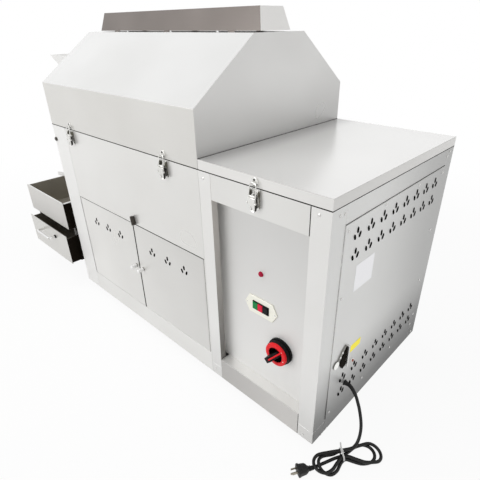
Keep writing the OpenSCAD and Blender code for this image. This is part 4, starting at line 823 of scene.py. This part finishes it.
for i, x in enumerate((139, 641, 953), 1):
    lever_body, bail_body = f"latch_lever_{i}", f"latch_bail_{i}"
    lever = channel(f"lever_{i}", lever_rings, 1.1, x)
    shaded_sides(finish(lever, lever_body, "bright_steel", lever_body, material=plated))
    hook = wire_piece(f"lever_slot_{i}", [at(x + dx, y, z) for dx, y, z in slot_line], 0.0005, 6)
    finish(hook, lever_body, "dark_steel", material=plated_shade)
    for end, side in ends:
        pin = turned(f"lever_pin_{i}_{side}", pivot_line, at(x + end * 10.4, -12, 630), (end, 0, 0), 16)
        finish(pin, lever_body, "bright_steel", material=plated)
    bail = wire_piece(f"bail_{i}", [at(x + dx, y, z) for dx, y, z in bail_line], 0.0013)
    finish(bail, bail_body, "bright_steel", bail_body, material=plated)
    roll = turned(f"bail_roll_{i}", roll_line, at(x - 10.6, -11.2, 645), right, 16)
    finish(roll, bail_body, "bright_steel", material=plated)
    base = channel(f"latch_base_{i}", base_rings, 0.9, x)
    ears = [rounded(loft([[at(x + end * (11.6 + thickness), y, z) for y, z in ear_line] for thickness in (0, 1.3)],
                         f"latch_ear_{i}_{side}"), 0.0004) for end, side in ends]
    for piece in [base] + ears:
        stands_for = ["latch_bases"] if i == 1 and piece is base else []
        finish(piece, "cabinet", "bright_steel", *stands_for, material=plated)
        # Painted shade on the base's and ears' faces that look right.
        toned(piece, (plated_olive, lambda n, c: n.x > 0.3))
    upper = "top_lid" if i == 3 else "hood"
    strike = rounded(loft([[at(x + dx * size, y, 673 + (z - 673) * size) for dx, z in strike_line]
                           for y, size in ((-0.1, 1.0), (-1.6, 1.0), (-2.4, 0.9))], f"strike_{i}"), 0.0004, 2, 20)
    lip = channel(f"strike_lip_{i}", lip_rings, 0.8, x)
    finish(strike, upper, "bright_steel", material=plated)
    shaded_sides(finish(lip, upper, "bright_steel", material=plated))
    rivet = turned(f"strike_rivet_{i}", rivet_line, at(x - 1, -2.3, 677.5), front, 20)
    finish(rivet, upper, "dark_steel", material=plated_shade)


# Hinges: steel butt hinges along the back edge, with a pin through their knuckles. Their fixed leaves
# are on the cabinet, and the others are on the hood and the lid.
for node, body in (("hinge_leaves", "cabinet"), ("hood_fittings", "hood"), ("lid_fittings", "top_lid")):
    leaves = sheet_copy(node, 0.0004, node + "_leaves", 30, keep=lambda vert: vert.co.y >= 0.2)
    finish(leaves, body, "bright_steel", node, material=bright_steel)


# Control panel fittings: a lamp with a domed red lens, a cream plate with three push buttons, and a
# rotary isolator with a black grip and a red pointer on a red dial.
def plastic(name, colour, other, rough=(0.28, 0.4)):
    """Moulded plastic, a little uneven in its gloss."""
    return mottled(name, colour, other, 160, rough, bump=0.04, Specular_IOR_Level=0.16)


dial_red = plastic("dial_red", (0.95, 0.022, 0.03), (0.90, 0.018, 0.025))
button_green = plastic("button_green", (0.004, 0.27, 0.07), (0.003, 0.24, 0.06))
button_red = plastic("button_red", (0.86, 0.012, 0.06), (0.80, 0.01, 0.05))
button_black = plastic("button_black", (0.004, 0.004, 0.005), (0.007, 0.007, 0.007), (0.45, 0.6))
cream = mottled("cream", (0.97, 0.96, 0.86), (0.94, 0.93, 0.83), 160, (0.3, 0.4), bump=0.03, metal=0.45)
finish(sheet_copy("switch_plate", 0.0008), "cabinet", "cream_plastic", "switch_plate", material=cream)
finish(sheet_copy("switch_body", 0.0008), "cabinet", "black_plastic", "switch_body", material=button_black)
for colour, material in (("green", button_green), ("red", button_red), ("black", button_black)):
    name = "button_" + colour
    finish(sheet_copy(name, 0.0012), name, colour + "_plastic", name, material=material)
screw_heads("plate_screws", [(at(x, 28.5, 333), front) for x in (896, 988)], Head_radius=0.0022, Head_height=0.001)
lens = turned("lamp_lens", [(0, 0.2), (0, 7.2), (2.5, 7.2), (4.4, 6.2), (6, 4.2), (6.8, 1.6), (7, 0.1)],
              at(942, 31, 432), front)
bezel = turned("lamp_bezel", [(0, 7.0), (0, 8), (0.8, 8), (1.2, 7.6), (1.2, 7)], at(942, 31.4, 432), front)
lens_red = mottled("lens_red", (0.50, 0.004, 0.045), (0.42, 0.003, 0.035), 200, (0.2, 0.3), bump=0.02,
                   Specular_IOR_Level=0.2)
finish(lens, "cabinet", "red_plastic", "pilot_lamp", material=lens_red)
finish(bezel, "cabinet", "bright_steel", material=chrome)


def disc(name, near, far, radius, material, body, slot, *stands_for):
    """A moulding of the isolator: a short drum between two distances (mm) behind the cabinet's face."""
    profile = [(0, 0.2), (0, radius - 1.6), (0.5, radius - 0.4), (1.6, radius), (far - near, radius),
               (far - near, 0.2)]
    made = turned(name, profile, at(dial_x, near, dial_z), (0, 1, 0), 48)
    return finish(made, body, slot, *stands_for, material=material)


dial_x, dial_z = 1008, 233
disc("dial_skirt", 14.5, 25.2, 33.6, button_black, "isolator", "black_plastic")
ring_line = [(0.2, 21), (0, 22), (0, 30), (0.6, 31.4), (1.8, 32), (6.4, 32), (6.4, 21)]
ring = turned("dial_ring", ring_line + ring_line[:1], at(dial_x, 8.2, dial_z), (0, 1, 0), 56)
finish(ring, "isolator", "red_plastic", "isolator_dial", material=dial_red)
disc("dial_hub", 9.4, 14.5, 21.4, button_black, "isolator", "black_plastic")
turn = Matrix.Translation(at(dial_x, 0, dial_z)) @ Matrix.Rotation(math.radians(-45), 4, "Y")
crest = [(-0.021, 0.0096), (-0.0205, -0.011), (-0.0185, -0.0125), (-0.006, -0.0125), (0.017, 0.002), (0.019, 0.0096)]
grip = loft([[turn @ Vector((along, y, across)) for along, y in crest] for across in (-0.0072, 0.0072)], "dial_grip")
finish(rounded(grip, 0.0016, 3), "isolator", "black_plastic", material=button_black)
pointer_line = ((0.024, 0.0082, 0), (0.0165, 0.0012, 0), (-0.005, -0.0126, 0))
pointer = wire_piece("dial_pointer", [turn @ Vector(p) for p in pointer_line], 0.0022, 12)
finish(pointer, "isolator", "red_plastic", material=dial_red)
for name, dx, dz in (("dial_mark_upper", 18.5, 18.5), ("dial_mark_lower", 25, -7)):
    mark = turned(name, [(0, 0.1), (0, 1.5), (0.5, 1.4), (0.6, 0.1)], at(dial_x + dx, 8.3, dial_z + dz), front, 14)
    finish(mark, "isolator", "cream_plastic", material=cream)
collar = turned("isolator_collar", [(0, 0.2), (0, 34.6), (4.6, 34.6), (5.6, 34), (5.8, 32), (5.8, 0.2)],
                at(dial_x, 31.3, dial_z), front, 48)
finish(collar, "cabinet", "black_plastic", material=button_black)


# Side fittings: blank paper labels, the gas cock with its knob, flange and strap, a black plate beside it
# that is a painted shadow, a reset button in a collar, the cord's grip nut, and black sheets behind the
# vents that paint their shade.
label_white = mottled("label_white", (0.97, 0.97, 0.985), (0.93, 0.93, 0.95), 900, (0.35, 0.45), metal=0.75)
label_yellow = mottled("label_yellow", (1.0, 0.87, 0.0), (0.98, 0.83, 0.0), 90, (0.28, 0.38), metal=0.95)
for name, material, low, high in (("rating_label", label_white, (110, 432), (190, 500)),
                                  ("gas_label", label_yellow, (135, 238.5), (182, 259))):
    slabs(0.12, "white_plastic", material, [(name, (side_face + 0.05, *low), (side_face + 0.4, *high))])
# Painted shade: black sheets behind the side vents keep the slots dark.
vent_shade = mottled("foam_black", (0.006, 0.006, 0.006), (0.012, 0.011, 0.010), 700, (0.85, 0.95), bump=0.4,
               Specular_IOR_Level=0.1)
slabs(0.4, "black_rubber", vent_shade, [("filter_low", (1138.2, 66, 96), (1139.8, 524, 225)),
                                  ("filter_high", (1138.2, 66, 500), (1139.8, 524, 598))])
tap_line = [(0.2, 0.2), (0.2, 9.6), (0.8, 10.6), (2.8, 10.8), (3.6, 10.2), (3.9, 9.2), (3.8, 8.4), (3.8, 0.2)]
tap = turned("gas_tap", tap_line, at(side_face, 70, 243), right, 40)
tap_white = mottled("tap_white", (1.0, 1.0, 0.97), (0.97, 0.97, 0.94), 120, (0.3, 0.4), metal=0.9, bump=0.03)
finish(tap, "gas_knob", "bright_steel", "gas_knob", material=tap_white)
tap_side = steel("tap_side", (0.30, 0.29, 0.27), (0.22, 0.21, 0.195), (200, 200, 200), (0.3, 0.4), 0.7, 0.05)
# Painted shade: the tap's faces that don't look right are darker.
toned(tap, (tap_side, lambda n, c: n.x < 0.3))


def plate(name, thick, *outline):
    """A flat plate on the side panel, from its thickness and its outline in (y, z) mm."""
    near, far = side_face + 0.1, side_face + thick
    return rounded(loft([[at(x, y, z) for y, z in outline] for x in (near, far)], name), 0.0005)


# Painted shadow: a black plate beside the tap, which stands for the gas inlet.
bracket = plate("tap_bracket", 4, (112, 276), (111, 217), (98, 214), (84, 236), (92, 254))
flange = plate("tap_flange", 8, (113, 276), (118, 278), (118, 212), (112.5, 212))
strap = plate("tap_strap", 2.6, (111, 280), (90, 257), (80, 241), (76, 252), (88, 270), (106, 284))
finish(bracket, "cabinet", "dark_steel", "gas_inlet", material=guide_black)
finish(flange, "cabinet", "bright_steel", material=bright_steel)
finish(strap, "cabinet", "bright_steel", material=tap_side)
screw_heads("tap_screws", [(at(1144.6, y, z), right) for y, z in ((84, 259), (92, 269))],
            Head_radius=0.0034, Head_height=0.0022)
reset_red = plastic("reset_red", (0.55, 0.14, 0.09), (0.45, 0.11, 0.07))
for name, radius, near, far, slot, material in (("reset_collar", 6.4, 1142.1, 1143.6, "bright_steel", bright_steel),
                                                ("reset_button", 3.6, 1143.4, 1145.6, "red_plastic", reset_red)):
    thick = far - near
    made = turned(name, [(0, 0.2), (0, radius), (thick, radius * 0.92), (thick + 0.05, 0.2)], at(near, 152, 202),
                  right, 24)
    finish(made, "cabinet", slot, material=material)
nut = turned("cord_nut", [(0, 0.2), (0, 7.4), (1.4, 7.4), (2.0, 6.4), (5, 6), (6.4, 5.5), (7, 4.4), (7, 0.2)],
             at(side_face, 128, 142), right, 24)
finish(nut, "cabinet", "black_plastic", "cord_gland", material=rubber_black)


# Side panel joints: the side panel's folded edges lie in the frame, and dark strips in the narrow gap
# along its foot, its back and its top are painted shade.
panel_joint = mottled("panel_joint", (0.06, 0.058, 0.052), (0.04, 0.038, 0.034), 300, (0.7, 0.8), bump=0.1,
                      Specular_IOR_Level=0.2)
slabs(0.15, "black_rubber", panel_joint,
      (("side_joint_foot", (1139.6, 50, 70.6), (1140.3, 541, 71.8)),
       ("side_joint_back", (1139.6, 540.2, 71), (1140.3, 541.3, 617)),
       ("side_joint_top", (1139.6, 50, 616.2), (1140.3, 541, 617.4))))


# Vent slots: leaves of three slots are pierced through the side panel and the doors. The edges of each
# slot are rolled under, and their rims are black as painted shade.
rims, given = tree_with("leaf_rims", Slot_width=0.0056, Slot_length=0.0136, Rim_radius=0.0005)
slot = added(rims, "GeometryNodeCurvePrimitiveQuadrilateral", Width=given["Slot width"], Height=given["Slot length"])
path = added(rims, "GeometryNodeFilletCurve", Curve=slot, Radius=times(rims, given["Slot width"], 0.49))
section = added(rims, "GeometryNodeCurvePrimitiveCircle", Resolution=5, Radius=given["Rim radius"])
edge = added(rims, "GeometryNodeCurveToMesh", Curve=path, Profile_Curve=section)
finish_tree(rims, set_on(rims, given["Geometry"], edge, "turn"), slot_black)


def leaf_rims(name, body, centres, plane, **sizes):
    """Rims round the three slots of each leaf, in a plane given by a matrix."""
    spots, turns = [], []
    for centre in centres:
        for u, v, lean in ((0, 13, 0), (-10, 0, 24), (10, 0, -24)):
            spots.append(at(*centre) + plane @ Vector((u / 1000, v / 1000, 0.0001)))
            turns.append((plane @ Matrix.Rotation(math.radians(lean), 3, "Z")).to_euler())
    grown(name, points_with(name, spots, "turn", turns), rims, slot_black, body, "dark_steel", **sizes)


on_side = Matrix(((0, 0, 1), (1, 0, 0), (0, 1, 0)))
on_front = Matrix(((1, 0, 0), (0, 0, -1), (0, 1, 0)))
side_pitch, door_pitch = 55.6, 77
side_leaves = [(side_face, y + side_pitch * i, z) for y, rows in ((98, (529, 577)), (111, (121, 169)))
               for z in rows for i in range(8)]
leaf_rims("side_vent_rims", "cabinet", side_leaves, on_side, Rim_radius=0.0009)
for door, middle in (("door_left", 267.2), ("door_right", 600.8)):
    door_leaves = [(middle + door_pitch * i, 0, 341) for i in (-1, 0, 1)]
    leaf_rims(door + "_vent_rims", door, door_leaves, on_front, Rim_radius=0.0007)


# Left post bolt: a browned hex head on a light steel washer, which clamps the front's stile to the
# frame's left post.
bolt = turned("post_bolt", [(0.8, 0.2), (0.8, 6.4), (4.4, 6.4), (5.2, 5.6), (5.2, 0.2)], at(10, 0, 610), front, 6, 20)
finish(bolt, "cabinet", "dark_steel", material=catch_black)
washer = turned("post_washer", [(0, 0.2), (0, 9), (0.8, 9), (0.8, 0.2)], at(10, 0, 610), front, 28)
finish(washer, "cabinet", "bright_steel", material=bright_steel)


# Collecting boxes: two folded boxes on a painted rack under the chute. Roasting has left their insides
# brown, and the drawer's inside is a lighter copy as painted light. The bin darkens towards its foot and
# the boxes' right sides are black, as painted shade, and bright strips on the bin's rim are painted highlight.
# Painted shade: the bin darkens towards its foot; the drawer's inside is a lighter copy as painted light.
box_steel = painted_shade_fade(steel("box_steel", (0.62, 0.605, 0.58), (0.57, 0.555, 0.53), long_grain), "Z", 249, 345, 0.86, 1.0)
drawer_steel = steel("drawer_steel", (0.66, 0.65, 0.62), (0.60, 0.59, 0.565), long_grain)
box_inside = steel("box_inside", (0.44, 0.41, 0.35), (0.34, 0.315, 0.265), (30, 30, 30), (0.45, 0.65), 0.35)
drawer_inside = steel("drawer_inside", (0.62, 0.58, 0.50), (0.50, 0.46, 0.39), long_grain)
for node, front_y, material, inner in (("bin", -21, box_steel, box_inside),
                                       ("drawer", -39, drawer_steel, drawer_inside)):
    low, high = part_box(node)
    box = finish(sheet_copy(node, 0.0008), node, "stainless", node, material=material)
    wall = Vector((0.0006, 0.0006, 0.0006))
    low.y = at(0, front_y + 0.6, 0).y
    low, inner_high = low + wall, high - wall
    # The insides take the brown steel, the drawer's a lighter copy as painted light; the right sides take black as
    # painted shade.
    toned(box, (inner, lambda n, c: all(low[k] < c[k] < inner_high[k] for k in range(3))),
          (guide_black, lambda n, c: n.x > 0.8 and c.x > high.x - 0.05))
# Painted highlight: strips in the brighter steel along the bin's rim.
slabs(0.3, "stainless", bright_steel,
      (("bin_rim_right", (-40, -20, 355.6), (-28.2, 340, 357.3), "bin"),
       ("bin_rim_front", (-369, -20.8, 355.6), (-28.2, -15, 357.3), "bin"),
       ("rack_bracket", (-27.4, -1, 220), (-24.4, 13, 250))))
pull_r, pull_z = 0.0045, 189.6
pull_path = [(-257, -39), (-257, -58), (-253, -64), (-243, -65.4), (-199, -65.4), (-155, -65.4), (-145, -64),
             (-141, -58), (-141, -39)]
pull_line = smooth_line([at(x, y, pull_z) for x, y in pull_path], 0.002)
pull = loft(tube_rings(pull_line, [pull_r] * len(pull_line), 14), "drawer_pull")
finish(pull, "drawer", "bright_steel", material=chrome)
# Painted shadow: a black cap on the pull's right foot stands for the shade inside the pull's arch.
pull_shadow_cap = turned("pull_stop", [(0, 0.2), (0, 7.5), (3, 7), (5, 5), (5, 0.2)], at(-141, -39.2, pull_z), front, 24)
finish(pull_shadow_cap, "drawer", "black_rubber", material=seal_black)
for node, slot, material in (("collector_rack", "dark_steel", guide_black),
                             ("discharge_chute", "stainless", hopper_steel)):
    finish(sheet_copy(node, 0.0008), "cabinet", slot, node, material=material)


# Casters: rubber tyres on grey moulded hubs, which turn in plated forks under the base. The front pair
# swivel, and the rear pair are fixed.
tyre_black = mottled("tyre_black", (0.014, 0.014, 0.014), (0.03, 0.029, 0.028), 260, (0.55, 0.75), bump=0.12)
hub_grey = plastic("hub_grey", (0.30, 0.30, 0.30), (0.25, 0.25, 0.25))
tread = [(-9.5, 16), (-10.4, 18), (-10.6, 20.5), (-9.4, 23), (-6, 24.7), (0, 25), (6, 24.7), (9.4, 23), (10.6, 20.5),
         (10.4, 18), (9.5, 16)]
hub_line = [(-10.9, 4.2), (-10.9, 7), (-9.6, 8), (-9.2, 15), (-9.6, 16.2), (9.6, 16.2), (9.2, 15), (9.6, 8), (10.9, 7),
            (10.9, 4.2)]
axles = {joint["name"]: Vector(joint["axis"]) for joint in frame["joints"]}
for i in range(1, 5):
    wheel = f"caster_wheel_{i}"
    low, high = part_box(wheel)
    centre, axle = (low + high) / 2, axles[wheel + "_spin"]
    finish(turned(f"tyre_{i}", tread, centre, axle, 40, 60), wheel, "black_rubber", wheel, material=tyre_black)
    finish(turned(f"wheel_hub_{i}", hub_line, centre, axle), wheel, "black_plastic", material=hub_grey)


# Inside: the roasting drum and its shield, brass gas line and burners, cast bearings, the gear motor
# with its belt, and plain pans, whose dark steel is painted shade. Heat has browned the sheets round the drum.
drum_steel = steel("drum_steel", (0.34, 0.315, 0.28), (0.22, 0.195, 0.165), (12, 90, 90), (0.35, 0.5), 0.7)
brass = mottled("gas_brass", (0.62, 0.47, 0.22), (0.50, 0.36, 0.16), 120, (0.25, 0.4), metal=0.9, bump=0.05)
cast_grey = mottled("cast_grey", (0.16, 0.19, 0.21), (0.11, 0.13, 0.145), 400, (0.5, 0.7), metal=0.2, bump=0.5)
motor_grey = mottled("motor_enamel", (0.20, 0.26, 0.29), (0.16, 0.21, 0.24), 300, (0.35, 0.5), bump=0.3)
painted(drum_steel, "drum", "heat_shroud")
painted(brass, "gas_line")
painted(cast_grey, "shaft_bearings", "motor_pulley")
painted(motor_grey, "gear_motor")
painted(tyre_black, "drive_belt")
painted(bright_steel, "door_pins", "caster_mounts", "caster_fork_1", "caster_fork_2")
painted(button_black, "isolator_base")
